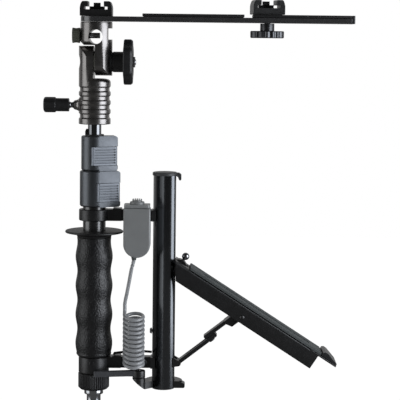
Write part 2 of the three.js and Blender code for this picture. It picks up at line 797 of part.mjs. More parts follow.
function addPost() {
  const screwZ = POST_FOOT + POST_SCREW_RISE;
  const hole = rod(POST_SCREW_SHANK / 2 + SEAT_GAP, -POST_RADIUS - OVERRUN, 0, TINY)
    .rotateY(Math.PI / 2)
    .translate(POST_X, 0, screwZ);
  const tube = ring(POST_RADIUS, POST_BORE, POST_FOOT, POST_TOP, FINE).translate(POST_X, 0, 0);
  piece(bracket, "post_tube", cut(tube, hole), blackAnodised);

  const face = -POST_RADIUS - SEAT_GAP;
  const profile = [
    [0, face - POST_SCREW_HEAD],
    [POST_SCREW_DIAMETER / 2 - EDGE, face - POST_SCREW_HEAD],
    [POST_SCREW_DIAMETER / 2, face - POST_SCREW_HEAD / 2],
    [POST_SCREW_DIAMETER / 2, face],
    [POST_SCREW_SHANK / 2, face],
    [POST_SCREW_SHANK / 2, face + POST_WALL + POST_SCREW_HEAD],
    [0, face + POST_WALL + POST_SCREW_HEAD],
  ];
  piece(bracket, "post_screw", turnedX(profile, SMALL).translate(POST_X, 0, screwZ), steel);
}

function addPostCap() {
  const rim = CAP_DIAMETER / 2;
  const seat = POST_TOP + SEAT_GAP;
  const skirt = seat - CAP_SKIRT;
  const top = skirt + CAP_HEIGHT;
  const plug = POST_BORE - BORE_GAP;
  const inside = POST_RADIUS + BORE_GAP;
  const body = turned(
    [
      [0, seat - CAP_PLUG],
      [plug, seat - CAP_PLUG],
      [plug, seat],
      [inside, seat],
      [inside, skirt],
      [rim, skirt],
      [rim, top - CAP_DOME],
      [rim - CAP_DOME, top],
      [0, top + CAP_DOME / 2],
    ],
    FINE,
  ).translate(POST_X, 0, 0);
  const edge = POST_X + rim;
  const tab = slab(
    [
      [edge - CAP_DOME, top - CAP_DOME],
      [edge - CAP_DOME, skirt],
      [edge + CAP_TAB_SHOULDER, skirt + CAP_DOME - CAP_TAB_FALL],
      [edge + CAP_TAB_REACH / 2, top - CAP_TAB_DROP],
      [edge + CAP_TAB_REACH, top - CAP_TAB_DROP],
      [edge + CAP_TAB_REACH, top - CAP_TAB_REACH / 2],
      [edge + CAP_TAB_REACH / 2, top - CAP_DOME],
    ],
    CAP_TAB_WIDTH,
  );
  piece(bracket, "post_cap", joined(body, tab), blackPlastic);
}

// Release lever: a heel plate behind the post carries the pin that the lever turns on

function addReleaseLever() {
  const heelTop = HEEL_FOOT + HEEL_HEIGHT;
  const hub = LEVER_HUB_DIAMETER / 2;
  const heel = HEEL_DIAMETER / 2;
  const legTop = heelTop + LEVER_LEG_HEIGHT;
  const hubDisc = rod(hub, HEEL_FOOT, legTop, SMALL).translate(LEVER_HUB_X, LEVER_HUB_Y, 0);
  const horn = plate(
    [
      [LEVER_HUB_X - hub * LEVER_HORN_SHARE, LEVER_HUB_Y + hub * LEVER_HORN_SHARE],
      [LEVER_HUB_X, LEVER_HUB_Y - hub],
      [POST_X - POST_RADIUS, -hub],
      [POST_X, 0],
      [POST_X - heel * LEVER_HORN_SHARE, heel * LEVER_HORN_SHARE],
    ],
    HEEL_FOOT,
    heelTop,
  );
  const rear = cut(
    rod(heel, HEEL_FOOT, heelTop, FINE).translate(POST_X, 0, 0),
    block(
      POST_X - heel - OVERRUN,
      POST_X + heel + OVERRUN,
      -heel - OVERRUN,
      -hub / 2,
      HEEL_FOOT - OVERRUN,
      heelTop + OVERRUN,
    ),
  );
  const tabEnd = POST_X + POST_RADIUS + HEEL_TAB_REACH;
  const tab = slab(
    [
      [POST_X, HEEL_FOOT],
      [tabEnd, HEEL_FOOT],
      [tabEnd, HEEL_FOOT + HEEL_TAB_NOSE],
      [tabEnd - HEEL_TAB_SLOPE, heelTop],
      [POST_X, heelTop],
    ],
    HEEL_TAB_WIDTH,
  );
  const seatRod = rod(POST_RADIUS + SEAT_GAP, HEEL_FOOT - OVERRUN, heelTop + OVERRUN, FINE);
  const seat = seatRod.translate(POST_X, 0, 0);
  const hubLeft = LEVER_HUB_X - hub - OVERRUN;
  const underLeg = slab(
    [
      [hubLeft, HEEL_FOOT - OVERRUN],
      [LEVER_LEG_FOOT_X, HEEL_FOOT - OVERRUN],
      [LEVER_LEG_FOOT_X, HEEL_FOOT],
      [LEVER_HUB_X - hub, legTop - EDGE],
      [hubLeft, legTop - EDGE],
    ],
    HEEL_DIAMETER + OVERRUN,
  );
  const leverFoot = legTop + RUN_GAP;
  const leverTop = leverFoot + LEVER_HUB_HEIGHT;
  const pinRadius = LEVER_PIN_DIAMETER / 2;
  const pin = turned(
    [
      [0, heelTop],
      [pinRadius, heelTop],
      [pinRadius, leverTop + LEVER_RISE],
      [pinRadius - EDGE, leverTop + LEVER_RISE + EDGE],
      [0, leverTop + LEVER_RISE + EDGE],
    ],
    TINY,
  ).translate(LEVER_HUB_X, LEVER_HUB_Y, 0);
  const heelBody = cut(joined(hubDisc, horn, rear, tab), seat, underLeg);
  piece(bracket, "lever_heel", joined(heelBody, pin), blackPaint);

  const barTop = leverTop + LEVER_RISE;
  const barFoot = barTop - LEVER_BAR_HEIGHT;
  const half = LEVER_BAR_WIDTH / 2;
  const bar = plate(
    [
      [0, -hub * LEVER_ROOT_SHARE],
      [0, hub * LEVER_ROOT_SHARE],
      [-LEVER_TAPER, half + EDGE],
      [-LEVER_REACH, half],
      [-LEVER_REACH, -half],
      [-LEVER_TAPER, -half - EDGE],
    ],
    barFoot,
    barTop,
  );
  const hubRod = rod(hub, leverFoot, barTop, SMALL);
  const bore = rod(pinRadius + BORE_GAP, leverFoot - OVERRUN, barTop + OVERRUN, TINY);
  const lever = cut(joined(bar, hubRod), bore)
    .rotateZ(THREE.MathUtils.degToRad(LEVER_SKEW))
    .translate(LEVER_HUB_X, LEVER_HUB_Y, 0);
  piece(bracket, "release_lever", lever, blackPaint);
}

// A thin bowed wire from the lower arm's root across to the post
function addBraceWire() {
  const radius = BRACE_DIAMETER / 2;
  const rootTop = LOWER_ARM_TOP + ROOT_RISE + SEAT_GAP;
  const start = ROOT_LENGTH - ROOT_THICKNESS / 2;
  const end = POST_X - POST_RADIUS - SEAT_GAP;
  const span = end - start;
  const points = [
    [start, 0, rootTop],
    [start, 0, rootTop + radius],
  ];
  const steps = 10;
  for (let i = 1; i <= steps; i++) {
    const share = i / steps;
    const rise = BRACE_BOW * Math.sin(share * BRACE_ARC);
    points.push([start + span * share, 0, rootTop + radius + rise]);
  }
  piece(bracket, "brace_wire", tubeAlong(points, radius, 8), blackPaint);
}

// Flip locks: a barrel with a block at one side, and a ridged lever let into its face

function lockBody(lock) {
  const radius = lock.diameter / 2;
  const top = lock.foot + lock.height;
  const barrel = edgedRod(radius, lock.foot, top, LOCK_EDGE, FINE);
  const side = plate(
    roundedRectangle(lock.reach * 2, radius + LOCK_BACK, LOCK_CORNER),
    lock.foot,
    top,
    4,
  ).translate(0, (LOCK_BACK - radius) / 2, 0);
  const rightOnly = block(0, lock.reach + OVERRUN, -radius - OVERRUN, radius + OVERRUN, lock.foot, top);
  const window = lock.windowFoot;
  const faceCut = block(
    lock.leverLeft - RUN_GAP,
    lock.reach + OVERRUN,
    -radius - OVERRUN,
    -radius + LEVER_PLATE + RUN_GAP - LEVER_PROUD,
    window,
    window + LOCK_WINDOW,
  );
  const hubCut = block(
    lock.pivotX - LOCK_HUB_DIAMETER / 2 - RUN_GAP,
    lock.reach + OVERRUN,
    -radius - OVERRUN,
    lock.pivotY + lock.clear,
    window,
    window + LOCK_WINDOW,
  );
  const pinHole = rod(LOCK_PIN_DIAMETER / 2 + BORE_GAP, lock.foot + LOCK_EDGE, top + OVERRUN, TINY).translate(
    lock.pivotX,
    lock.pivotY,
    0,
  );
  const lowerBore = rod(lock.lowerBore, lock.foot - OVERRUN, lock.stopZ + SEAT_GAP, FINE);
  const upperBore = rod(lock.upperBore, lock.foot - OVERRUN, top + OVERRUN, FINE);
  return cut(joined(barrel, common(side, rightOnly)), faceCut, hubCut, pinHole, lowerBore, upperBore);
}

function lockLever(lock) {
  const radius = lock.diameter / 2;
  const foot = lock.windowFoot + RUN_GAP;
  const top = lock.windowFoot + LOCK_WINDOW - RUN_GAP;
  const face = -radius - LEVER_PROUD;
  const right = lock.reach - LEVER_PROUD;
  const corner = LOCK_CORNER + LEVER_PROUD;
  const hub = LOCK_HUB_DIAMETER / 2;
  const outline = new THREE.Shape();
  outline.moveTo(lock.leverLeft + EDGE, face);
  outline.lineTo(right - corner, face);
  outline.absarc(right - corner, face + corner, corner, -Math.PI / 2, 0, false);
  outline.lineTo(right, lock.pivotY);
  outline.absarc(lock.pivotX, lock.pivotY, hub, 0, Math.PI, false);
  outline.lineTo(lock.pivotX - hub, face + LEVER_PLATE);
  outline.lineTo(lock.leverLeft, face + LEVER_PLATE);
  outline.lineTo(lock.leverLeft, face + EDGE);
  const panel = plate(outline, foot, top, 6);
  const ridges = [];
  const ridgeRight = right - corner;
  const ridgeLeft = lock.leverLeft + RIDGE_BORDER;
  const pitch = (top - foot) / (RIDGES + 1);
  for (let i = 1; i <= RIDGES; i++) {
    const middle = foot + i * pitch;
    ridges.push(
      block(
        ridgeLeft,
        ridgeRight,
        face - OVERRUN,
        face + RIDGE_DEPTH,
        middle - RIDGE_HEIGHT / 2,
        middle + RIDGE_HEIGHT / 2,
      ),
    );
  }
  const border = block(
    ridgeLeft - BORDER_SETBACK,
    ridgeLeft - RIDGE_HEIGHT,
    face - OVERRUN,
    face + RIDGE_DEPTH,
    foot - OVERRUN,
    top + OVERRUN,
  );
  const tubeRoom = rod(lock.tubeRadius + SEAT_GAP + BORE_GAP, foot - OVERRUN, top + OVERRUN, FINE);
  const bore = rod(LOCK_PIN_DIAMETER / 2 + BORE_GAP, foot - OVERRUN, top + OVERRUN, TINY).translate(
    lock.pivotX,
    lock.pivotY,
    0,
  );
  return cut(panel, ...ridges, border, tubeRoom, bore);
}

function lockPin(lock) {
  const foot = lock.foot + LOCK_EDGE + SEAT_GAP;
  return rod(LOCK_PIN_DIAMETER / 2, foot, lock.foot + lock.height - LOCK_EDGE, TINY).translate(
    lock.pivotX,
    lock.pivotY,
    0,
  );
}

function lockSizes(diameter, foot, height, reach, leverLeft, windowFoot, tubeRadius, innerRadius) {
  return {
    diameter,
    foot,
    height,
    reach,
    leverLeft,
    windowFoot,
    tubeRadius,
    pivotX: reach - LOCK_PIVOT_INSET,
    pivotY: LOCK_PIVOT_DEPTH - diameter / 2,
    clear: LOCK_PIVOT_DEPTH + EDGE,
    lowerBore: tubeRadius + BORE_GAP,
    upperBore: innerRadius + BORE_GAP,
    stopZ: foot + height - TUBE_STOP,
  };
}

const lowerLock = lockSizes(
  LOWER_LOCK_DIAMETER,
  LOWER_LOCK_FOOT,
  LOWER_LOCK_HEIGHT,
  LOWER_LOCK_REACH,
  LEVER_LEFT_LOWER,
  LOWER_LOCK_FOOT + LOCK_STRIP,
  BASE_TUBE_RADIUS,
  MIDDLE_TUBE_RADIUS,
);
const upperLock = lockSizes(
  UPPER_LOCK_DIAMETER,
  UPPER_LOCK_FOOT,
  UPPER_LOCK_HEIGHT,
  UPPER_LOCK_REACH,
  LEVER_LEFT_UPPER,
  UPPER_LOCK_FOOT + LOCK_STRIP,
  MIDDLE_TUBE_RADIUS,
  BUSH_DIAMETER / 2,
);

function addLocks() {
  piece(bracket, "lower_lock_body", lockBody(lowerLock).rotateZ(LOCK_TURN), blackPlastic);
  piece(bracket, "lower_lock_lever", lockLever(lowerLock).rotateZ(LOCK_TURN), blackPlastic);
  piece(bracket, "lower_lock_pin", lockPin(lowerLock).rotateZ(LOCK_TURN), steel);
  piece(bracket, "upper_lock_body", lockBody(upperLock).rotateZ(LOCK_TURN), blackPlastic);
  piece(bracket, "upper_lock_lever", lockLever(upperLock).rotateZ(LOCK_TURN), blackPlastic);
  piece(bracket, "upper_lock_pin", lockPin(upperLock).rotateZ(LOCK_TURN), steel);
}

// Inner tubes, the bush between them and the stud on top

function addInnerTubes() {
  const middleTop = upperLock.stopZ;
  const middleFoot = LOWER_ARM_FOOT + PLUG_LENGTH + MIDDLE_TUBE_STANDOFF;
  const middle = ring(MIDDLE_TUBE_RADIUS, MIDDLE_TUBE_BORE, middleFoot, middleTop, ROUND);
  piece(bracket, "middle_tube", middle, blackAnodised);

  const top = ring(TOP_TUBE_RADIUS, TOP_TUBE_BORE, middleFoot + TOP_TUBE_STANDOFF, CLAMP_FOOT, ROUND);
  piece(bracket, "top_tube", top, chrome);

  const bushBore = TOP_TUBE_RADIUS + BORE_GAP;
  const bushTop = UPPER_LOCK_TOP + BUSH_FLANGE;
  const sleeve = turned(
    [
      [bushBore, bushTop - BUSH_DEPTH],
      [BUSH_DIAMETER / 2, bushTop - BUSH_DEPTH],
      [BUSH_DIAMETER / 2, bushTop],
      [bushBore, bushTop],
      [bushBore, bushTop - BUSH_DEPTH],
    ],
    ROUND,
  );
  const nubTop = UPPER_LOCK_TOP + NUB_HEIGHT;
  const nub = block(-NUB_REACH, -bushBore, -NUB_WIDTH / 2, NUB_WIDTH / 2, bushTop - EDGE, nubTop);
  const room = rod(bushBore, bushTop - OVERRUN, nubTop + OVERRUN, ROUND);
  const nubHead = cut(nub, room);
  const nubLimit = rod(BUSH_DIAMETER / 2, bushTop - OVERRUN, nubTop + OVERRUN, ROUND);
  const clampedNub = common(nubHead, nubLimit);
  piece(bracket, "tube_bush", joined(sleeve, clampedNub), softBlack);

  const studFoot = CLAMP_FOOT + SEAT_GAP;
  const stud = turned(
    [
      [0, studFoot - STUD_PLUG],
      [TOP_TUBE_BORE - BORE_GAP, studFoot - STUD_PLUG],
      [TOP_TUBE_BORE - BORE_GAP, studFoot],
      [STUD_DIAMETER / 2, studFoot],
      [STUD_DIAMETER / 2, studFoot + STUD_LENGTH - EDGE],
      [STUD_DIAMETER / 2 - EDGE, studFoot + STUD_LENGTH],
      [0, studFoot + STUD_LENGTH],
    ],
    ROUND,
  );
  piece(bracket, "head_stud", stud, steel);
}

// Head. Its group has its origin on the tilt axis, which runs along X.

const head = placed(bracket, 0, 0, TILT_Z);

// Steps of a quarter round, as shares of its radius
const roundShares = [0.2, 0.4, 0.62, 0.83, 1];

// The end of a yoke seen along the tilt axis: straight sides and an oval end, up or down
function yokeOutline(reach, up) {
  const shape = new THREE.Shape();
  if (up) {
    shape.moveTo(-YOKE_HALF_WIDTH, -reach);
    shape.lineTo(YOKE_HALF_WIDTH, -reach);
    const middle = LOWER_YOKE_TOP - LOWER_YOKE_ROUND;
    shape.absellipse(0, middle, YOKE_HALF_WIDTH, LOWER_YOKE_ROUND, 0, Math.PI, false, 0);
  } else {
    const middle = UPPER_YOKE_ROUND - UPPER_YOKE_BOTTOM;
    shape.moveTo(YOKE_HALF_WIDTH, reach);
    shape.lineTo(-YOKE_HALF_WIDTH, reach);
    shape.absellipse(0, middle, YOKE_HALF_WIDTH, UPPER_YOKE_ROUND, Math.PI, 2 * Math.PI, false, 0);
  }
  return shape;
}

// The yoke's end as a solid between two X values
function yokeEnd(reach, up, fromX, toX) {
  return plate(yokeOutline(reach, up), fromX, toX, TINY)
    .rotateX(Math.PI / 2)
    .rotateZ(Math.PI / 2);
}

function addClampBody() {
  const radius = CLAMP_DIAMETER / 2;
  const foot = -TILT_HEIGHT;
  const profile = [
    [0, foot],
    [radius - CLAMP_EDGE, foot],
    [radius, foot + CLAMP_EDGE],
  ];
  for (let i = 0; i < GROOVES; i++) {
    const middle = foot + FIRST_GROOVE + i * GROOVE_PITCH;
    const half = GROOVE_WIDTH / 2;
    profile.push(
      [radius, middle - half],
      [radius - GROOVE_DEPTH, middle - half + GROOVE_DEPTH],
      [radius - GROOVE_DEPTH, middle + half - GROOVE_DEPTH],
      [radius, middle + half],
    );
  }
  for (const share of roundShares) {
    const inset = SHOULDER_ROUND * (1 - Math.sqrt(1 - share * share));
    profile.push([radius - inset, foot + CLAMP_SHOULDER - SHOULDER_ROUND * (1 - share)]);
  }
  profile.push([0, foot + CLAMP_CROWN]);
  const barrel = turned(profile, FINE);
  const column = rod(radius, foot + CLAMP_SHOULDER - SHOULDER_ROUND, LOWER_YOKE_TOP + OVERRUN, FINE);
  const yoke = common(column, yokeEnd(TILT_HEIGHT, true, -radius - OVERRUN, -YOKE_FACE));
  const bossProfile = [
    [0, -BOSS_REACH],
    [BOSS_TIP_DIAMETER / 2 - EDGE, -BOSS_REACH],
    [BOSS_TIP_DIAMETER / 2, EDGE - BOSS_REACH],
    [BOSS_NECK_DIAMETER / 2, -(BOSS_REACH + radius) / 2],
    [BOSS_DIAMETER / 2, -radius],
    [BOSS_DIAMETER / 2, -radius / 2],
    [0, -radius / 2],
  ];
  const screwZ = foot + CLAMP_SCREW_HEIGHT;
  const boss = turnedX(bossProfile, SMALL).translate(0, 0, screwZ);
  const studBore = rod(STUD_DIAMETER / 2 + BORE_GAP, foot - OVERRUN, foot + CLAMP_BORE_DEPTH, ROUND);
  const screwHole = rod(CLAMP_SCREW_DIAMETER / 2 + BORE_GAP, -BOSS_REACH - OVERRUN, 0, SMALL)
    .rotateY(Math.PI / 2)
    .translate(0, 0, screwZ);
  const pocket = rod(BOLT_HEAD_DIAMETER / 2 + BORE_GAP, -radius - OVERRUN, -BOLT_POCKET_FACE, SMALL).rotateY(
    Math.PI / 2,
  );
  const boltHole = rod(BOLT_DIAMETER / 2 + BORE_GAP, -radius - OVERRUN, OVERRUN, SMALL).rotateY(Math.PI / 2);
  const body = cut(joined(barrel, yoke, boss), studBore, screwHole, pocket, boltHole);
  piece(head, "clamp_body", body, gunmetal);
}

function addClampKnob() {
  const screwZ = CLAMP_SCREW_HEIGHT - TILT_HEIGHT;
  const tip = STUD_DIAMETER / 2 + SEAT_GAP;
  const barrelEnd = BOSS_REACH + CLAMP_SCREW_BARE;
  const headStart = barrelEnd + KNOB_BARREL_LENGTH;
  const headEnd = headStart + KNOB_HEAD_LENGTH;
  const depth = headEnd - KNOB_HEAD_LENGTH / 2;
  const screw = edgedRod(CLAMP_SCREW_DIAMETER / 2, -depth, -tip, EDGE, SMALL).rotateY(Math.PI / 2);
  piece(head, "clamp_screw", screw.translate(0, 0, screwZ), chrome);

  const barrel = edgedRod(KNOB_BARREL_DIAMETER / 2, -headStart - EDGE, -barrelEnd, EDGE / 2, SMALL);
  const fluted = plate(lobedShape(KNOB_HEAD_DIAMETER / 2, FLUTE_DEPTH, KNOB_FLUTES, 4), -headEnd, -headStart);
  const envelope = turned(
    [
      [0, -headEnd],
      [KNOB_HEAD_DIAMETER / 2 - OVERRUN, -headEnd],
      [KNOB_HEAD_DIAMETER / 2 - EDGE / 2, EDGE - headEnd],
      [KNOB_HEAD_DIAMETER / 2, OVERRUN - headEnd],
      [KNOB_HEAD_DIAMETER / 2, -headStart - EDGE],
      [KNOB_HEAD_DIAMETER / 2 - EDGE, -headStart],
      [0, -headStart],
    ],
    ROUND,
  );
  const bore = rod(CLAMP_SCREW_DIAMETER / 2 + BORE_GAP, -depth - SEAT_GAP, OVERRUN - barrelEnd, SMALL);
  const knob = cut(joined(barrel, common(fluted, envelope)), bore).rotateY(Math.PI / 2);
  piece(head, "clamp_knob", knob.translate(0, 0, screwZ), softBlack);
}

function addTiltBolt() {
  const washer = ring(
    WASHER_DIAMETER / 2,
    BOLT_DIAMETER / 2 + BORE_GAP,
    -WASHER_THICKNESS / 2,
    WASHER_THICKNESS / 2,
    ROUND,
  ).rotateY(Math.PI / 2);
  piece(head, "tilt_washer", washer, steel);

  const headFace = -BOLT_POCKET_FACE - SEAT_GAP;
  const end = tiltKnobEnd() + RUN_GAP + TILT_NUT_LENGTH + EDGE;
  const bolt = turnedX(
    [
      [0, headFace - BOLT_HEAD_LENGTH],
      [BOLT_HEAD_DIAMETER / 2 - EDGE, headFace - BOLT_HEAD_LENGTH],
      [BOLT_HEAD_DIAMETER / 2, headFace - BOLT_HEAD_LENGTH + EDGE],
      [BOLT_HEAD_DIAMETER / 2, headFace],
      [BOLT_DIAMETER / 2, headFace],
      [BOLT_DIAMETER / 2, end - EDGE],
      [BOLT_DIAMETER / 2 - EDGE, end],
      [0, end],
    ],
    SMALL,
  );
  const hexCut = rod(
    HEX_KEY_SIZE / 2,
    headFace - BOLT_HEAD_LENGTH - OVERRUN,
    headFace - BOLT_HEAD_LENGTH + HEX_KEY_DEPTH,
    6,
  ).rotateY(Math.PI / 2);
  piece(head, "tilt_bolt", cut(bolt, hexCut), steel);

  const nutFoot = tiltKnobEnd() + RUN_GAP;
  const nut = cut(
    edgedRod(TILT_NUT_DIAMETER / 2, nutFoot, nutFoot + TILT_NUT_LENGTH, SEAT_GAP, 6),
    rod(BOLT_DIAMETER / 2 + BORE_GAP, nutFoot - OVERRUN, nutFoot + TILT_NUT_LENGTH + OVERRUN, SMALL),
  ).rotateY(Math.PI / 2);
  piece(head, "tilt_nut", nut, steel);
}

function tiltKnobEnd() {
  return SPOT_FACE + SEAT_GAP + TILT_FLANGE_LENGTH + TILT_SLEEVE_LENGTH + TILT_KNOB_LENGTH;
}

function addTiltKnob() {
  const start = SPOT_FACE + SEAT_GAP;
  const flange = TILT_FLANGE_DIAMETER / 2;
  const sleeve = TILT_SLEEVE_DIAMETER / 2;
  const sleeveStart = start + TILT_FLANGE_LENGTH;
  const knobStart = sleeveStart + TILT_SLEEVE_LENGTH;
  const end = tiltKnobEnd();
  const hub = turned(
    [
      [0, start],
      [flange, start],
      [flange, sleeveStart - EDGE],
      [sleeve - EDGE, sleeveStart - EDGE],
      [sleeve - EDGE, sleeveStart],
      [sleeve, sleeveStart + EDGE],
      [sleeve, knobStart + EDGE],
      [0, knobStart + EDGE],
    ],
    ROUND,
  );
  const radius = TILT_KNOB_DIAMETER / 2;
  const lobes = plate(lobedShape(radius, TILT_KNOB_VALLEY, TILT_KNOB_LOBES, 10), knobStart, end);
  const envelope = turned(
    [
      [0, knobStart],
      [radius - TILT_KNOB_EDGE, knobStart],
      [radius, knobStart + TILT_KNOB_EDGE],
      [radius, end - TILT_KNOB_EDGE * 2],
      [radius - TILT_KNOB_EDGE, end - TILT_KNOB_EDGE / 2],
      [radius - TILT_KNOB_EDGE * 2, end],
      [sleeve + TILT_KNOB_DISH, end],
      [sleeve, end - TILT_KNOB_DISH],
      [TILT_NUT_DIAMETER / 2 + EDGE, end - TILT_KNOB_DISH],
      [TILT_NUT_DIAMETER / 2, end],
      [0, end],
    ],
    ROUND,
  );
  const bore = rod(BOLT_DIAMETER / 2 + BORE_GAP, start - OVERRUN, end + OVERRUN, SMALL);
  piece(head, "tilt_knob", cut(joined(hub, common(lobes, envelope)), bore).rotateY(Math.PI / 2), softBlack);
}

function addHeadBody() {
  const radius = HEAD_DIAMETER / 2;
  const roundFoot = HEAD_UNDERSIDE + HEAD_CONE;
  const roundTop = roundFoot + HEAD_ROUND + EDGE;
  const groove = HEAD_TOP - HEAD_GROOVE_DROP;
  const profile = [
    [0, HEAD_UNDERSIDE],
    [radius - HEAD_ROUND, roundFoot],
  ];
  for (const share of roundShares) {
    const lift = HEAD_ROUND * (1 - Math.sqrt(1 - share * share));
    profile.push([radius - HEAD_ROUND * (1 - share), roundFoot + lift]);
  }
  profile.push(
    [radius, groove - HEAD_GROOVE],
    [radius - HEAD_GROOVE, groove],
    [radius, groove + HEAD_GROOVE],
    [radius, HEAD_TOP],
    [0, HEAD_TOP],
  );
  const drum = turned(profile, FINE);
  const column = rod(radius, -UPPER_YOKE_BOTTOM - OVERRUN, roundTop, FINE);
  const yokeBlank = common(drum, column);
  const ears = block(
    YOKE_FACE - HEAD_OFFSET,
    radius + OVERRUN,
    -radius,
    radius,
    HEAD_UNDERSIDE - EDGE,
    roundTop,
  );
  const shoulder = common(column, ears);
  const endBlock = yokeEnd(HEAD_UNDERSIDE + EDGE, false, YOKE_FACE - HEAD_OFFSET, radius + OVERRUN);
  const yoke = common(column, endBlock);
  const solid = joined(drum, yokeBlank, shoulder, yoke).translate(HEAD_OFFSET, 0, 0);
  const umbrellaHole = crossRod(
    UMBRELLA_HOLE_DIAMETER / 2,
    HEAD_OFFSET,
    UMBRELLA_HOLE_HEIGHT,
    HEAD_DIAMETER + OVERRUN,
    24,
  );
  const screwHole = rod(UMBRELLA_SCREW_DIAMETER / 2 + BORE_GAP, -radius - OVERRUN, HEAD_OFFSET, SMALL)
    .rotateY(Math.PI / 2)
    .translate(0, 0, UMBRELLA_SCREW_HEIGHT);
  const earGap = block(
    EAR_RELIEF,
    HEAD_OFFSET + radius + OVERRUN,
    -radius,
    radius,
    EAR_GAP_FOOT,
    EAR_GAP_FOOT + EAR_GAP,
  );
  const spotFace = rod(SPOT_RADIUS, SPOT_FACE, HEAD_OFFSET + radius + OVERRUN, FINE)
    .rotateY(Math.PI / 2)
    .translate(0, 0, SPOT_RISE);
  const boltBore = BOLT_DIAMETER / 2 + BORE_GAP;
  const boltHole = rod(boltBore, -OVERRUN, SPOT_FACE + OVERRUN, SMALL).rotateY(Math.PI / 2);
  piece(head, "head_body", cut(solid, umbrellaHole, screwHole, earGap, spotFace, boltHole), gunmetal);
}

function addUmbrellaScrew() {
  const knobEnd = -UMBRELLA_KNOB_FACE - UMBRELLA_KNOB_LENGTH;
  const shaft = edgedRod(
    UMBRELLA_SCREW_DIAMETER / 2,
    knobEnd + UMBRELLA_KNOB_RIM,
    UMBRELLA_SCREW_TIP,
    EDGE / 2,
    SMALL,
  ).rotateY(Math.PI / 2);
  piece(head, "umbrella_screw", shaft.translate(0, 0, UMBRELLA_SCREW_HEIGHT), steel);

  const radius = UMBRELLA_KNOB_DIAMETER / 2;
  const knurled = plate(lobedShape(radius, KNURL_DEPTH, UMBRELLA_KNURLS, 2), knobEnd, -UMBRELLA_KNOB_FACE);
  const envelope = edgedRod(radius, knobEnd, -UMBRELLA_KNOB_FACE, EDGE, ROUND);
  const bore = rod(
    UMBRELLA_SCREW_DIAMETER / 2 + BORE_GAP,
    knobEnd + UMBRELLA_KNOB_RIM - SEAT_GAP,
    OVERRUN - UMBRELLA_KNOB_FACE,
    SMALL,
  );
  const knob = cut(common(knurled, envelope), bore).rotateY(Math.PI / 2);
  piece(head, "umbrella_knob", knob.translate(0, 0, UMBRELLA_SCREW_HEIGHT), softBlack);
}

// Flash bar with its pads and shoes

function barOutline() {
  const half = BAR_WIDTH / 2;
  const shape = new THREE.Shape();
  shape.moveTo(HEAD_OFFSET, -half);
  shape.lineTo(BAR_END_X, -half);
  shape.lineTo(BAR_END_X, half);
  shape.lineTo(HEAD_OFFSET, half);
  shape.absarc(HEAD_OFFSET, 0, half, Math.PI / 2, 1.5 * Math.PI, false);
  return shape;
}

function padGeometry(fromX, toX) {
  const length = toX - fromX;
  const foot = BAR_TOP + SEAT_GAP;
  const outline = roundedRectangle(length, BAR_WIDTH, PAD_CORNER);
  return plate(outline, foot, foot + PAD_THICKNESS - SEAT_GAP, 3).translate((fromX + toX) / 2, 0, 0);
}

function addFlashBar() {
  const slot = plate(
    slotShape(BAR_SLOT_START, BAR_SLOT_END, BAR_SLOT_WIDTH),
    BAR_FOOT - OVERRUN,
    BAR_TOP + PAD_THICKNESS + OVERRUN,
    6,
  );
  piece(head, "flash_bar", cut(plate(barOutline(), BAR_FOOT, BAR_TOP, 12), slot), blackPaint);
  piece(head, "inner_pad", padGeometry(INNER_PAD_START, INNER_PAD_END), softBlack);
  piece(head, "outer_pad", cut(padGeometry(OUTER_PAD_START, BAR_END_X), slot), softBlack);
  const capOutline = roundedRectangle(BAR_CAP_LENGTH, BAR_WIDTH, PAD_CORNER);
  const cap = plate(capOutline, BAR_FOOT, BAR_TOP + PAD_THICKNESS, 3);
  piece(head, "bar_end_cap", cap.translate(BAR_END_X + SEAT_GAP + BAR_CAP_LENGTH / 2, 0, 0), blackPlastic);
}

// A shoe's front outline: round shoulders over a floor with an undercut slot
function shoeOutline() {
  const half = SHOE_WIDTH / 2;
  const lip = SHOE_LIP_GAP / 2;
  const slot = SHOE_SLOT_WIDTH / 2;
  const lipFoot = SHOE_FLOOR + SHOE_SLOT_HEIGHT;
  const shoulder = SHOE_SHOULDER;
  const shape = new THREE.Shape();
  shape.moveTo(-half + EDGE, 0);
  shape.lineTo(half - EDGE, 0);
  shape.lineTo(half, EDGE);
  shape.lineTo(half, SHOE_HEIGHT - SHOE_SHOULDER_DROP);
  shape.quadraticCurveTo(half - EDGE, SHOE_HEIGHT, half - shoulder, SHOE_HEIGHT);
  shape.lineTo(lip + EDGE, SHOE_HEIGHT);
  shape.lineTo(lip, SHOE_HEIGHT - EDGE);
  shape.lineTo(lip, lipFoot + EDGE / 2);
  shape.lineTo(lip + EDGE / 2, lipFoot);
  shape.lineTo(slot, lipFoot);
  shape.lineTo(slot, SHOE_FLOOR);
  shape.lineTo(-slot, SHOE_FLOOR);
  shape.lineTo(-slot, lipFoot);
  shape.lineTo(-lip - EDGE / 2, lipFoot);
  shape.lineTo(-lip, lipFoot + EDGE / 2);
  shape.lineTo(-lip, SHOE_HEIGHT - EDGE);
  shape.lineTo(-lip - EDGE, SHOE_HEIGHT);
  shape.lineTo(shoulder - half, SHOE_HEIGHT);
  shape.quadraticCurveTo(EDGE - half, SHOE_HEIGHT, -half, SHOE_HEIGHT - SHOE_SHOULDER_DROP);
  shape.lineTo(-half, EDGE);
  return shape;
}

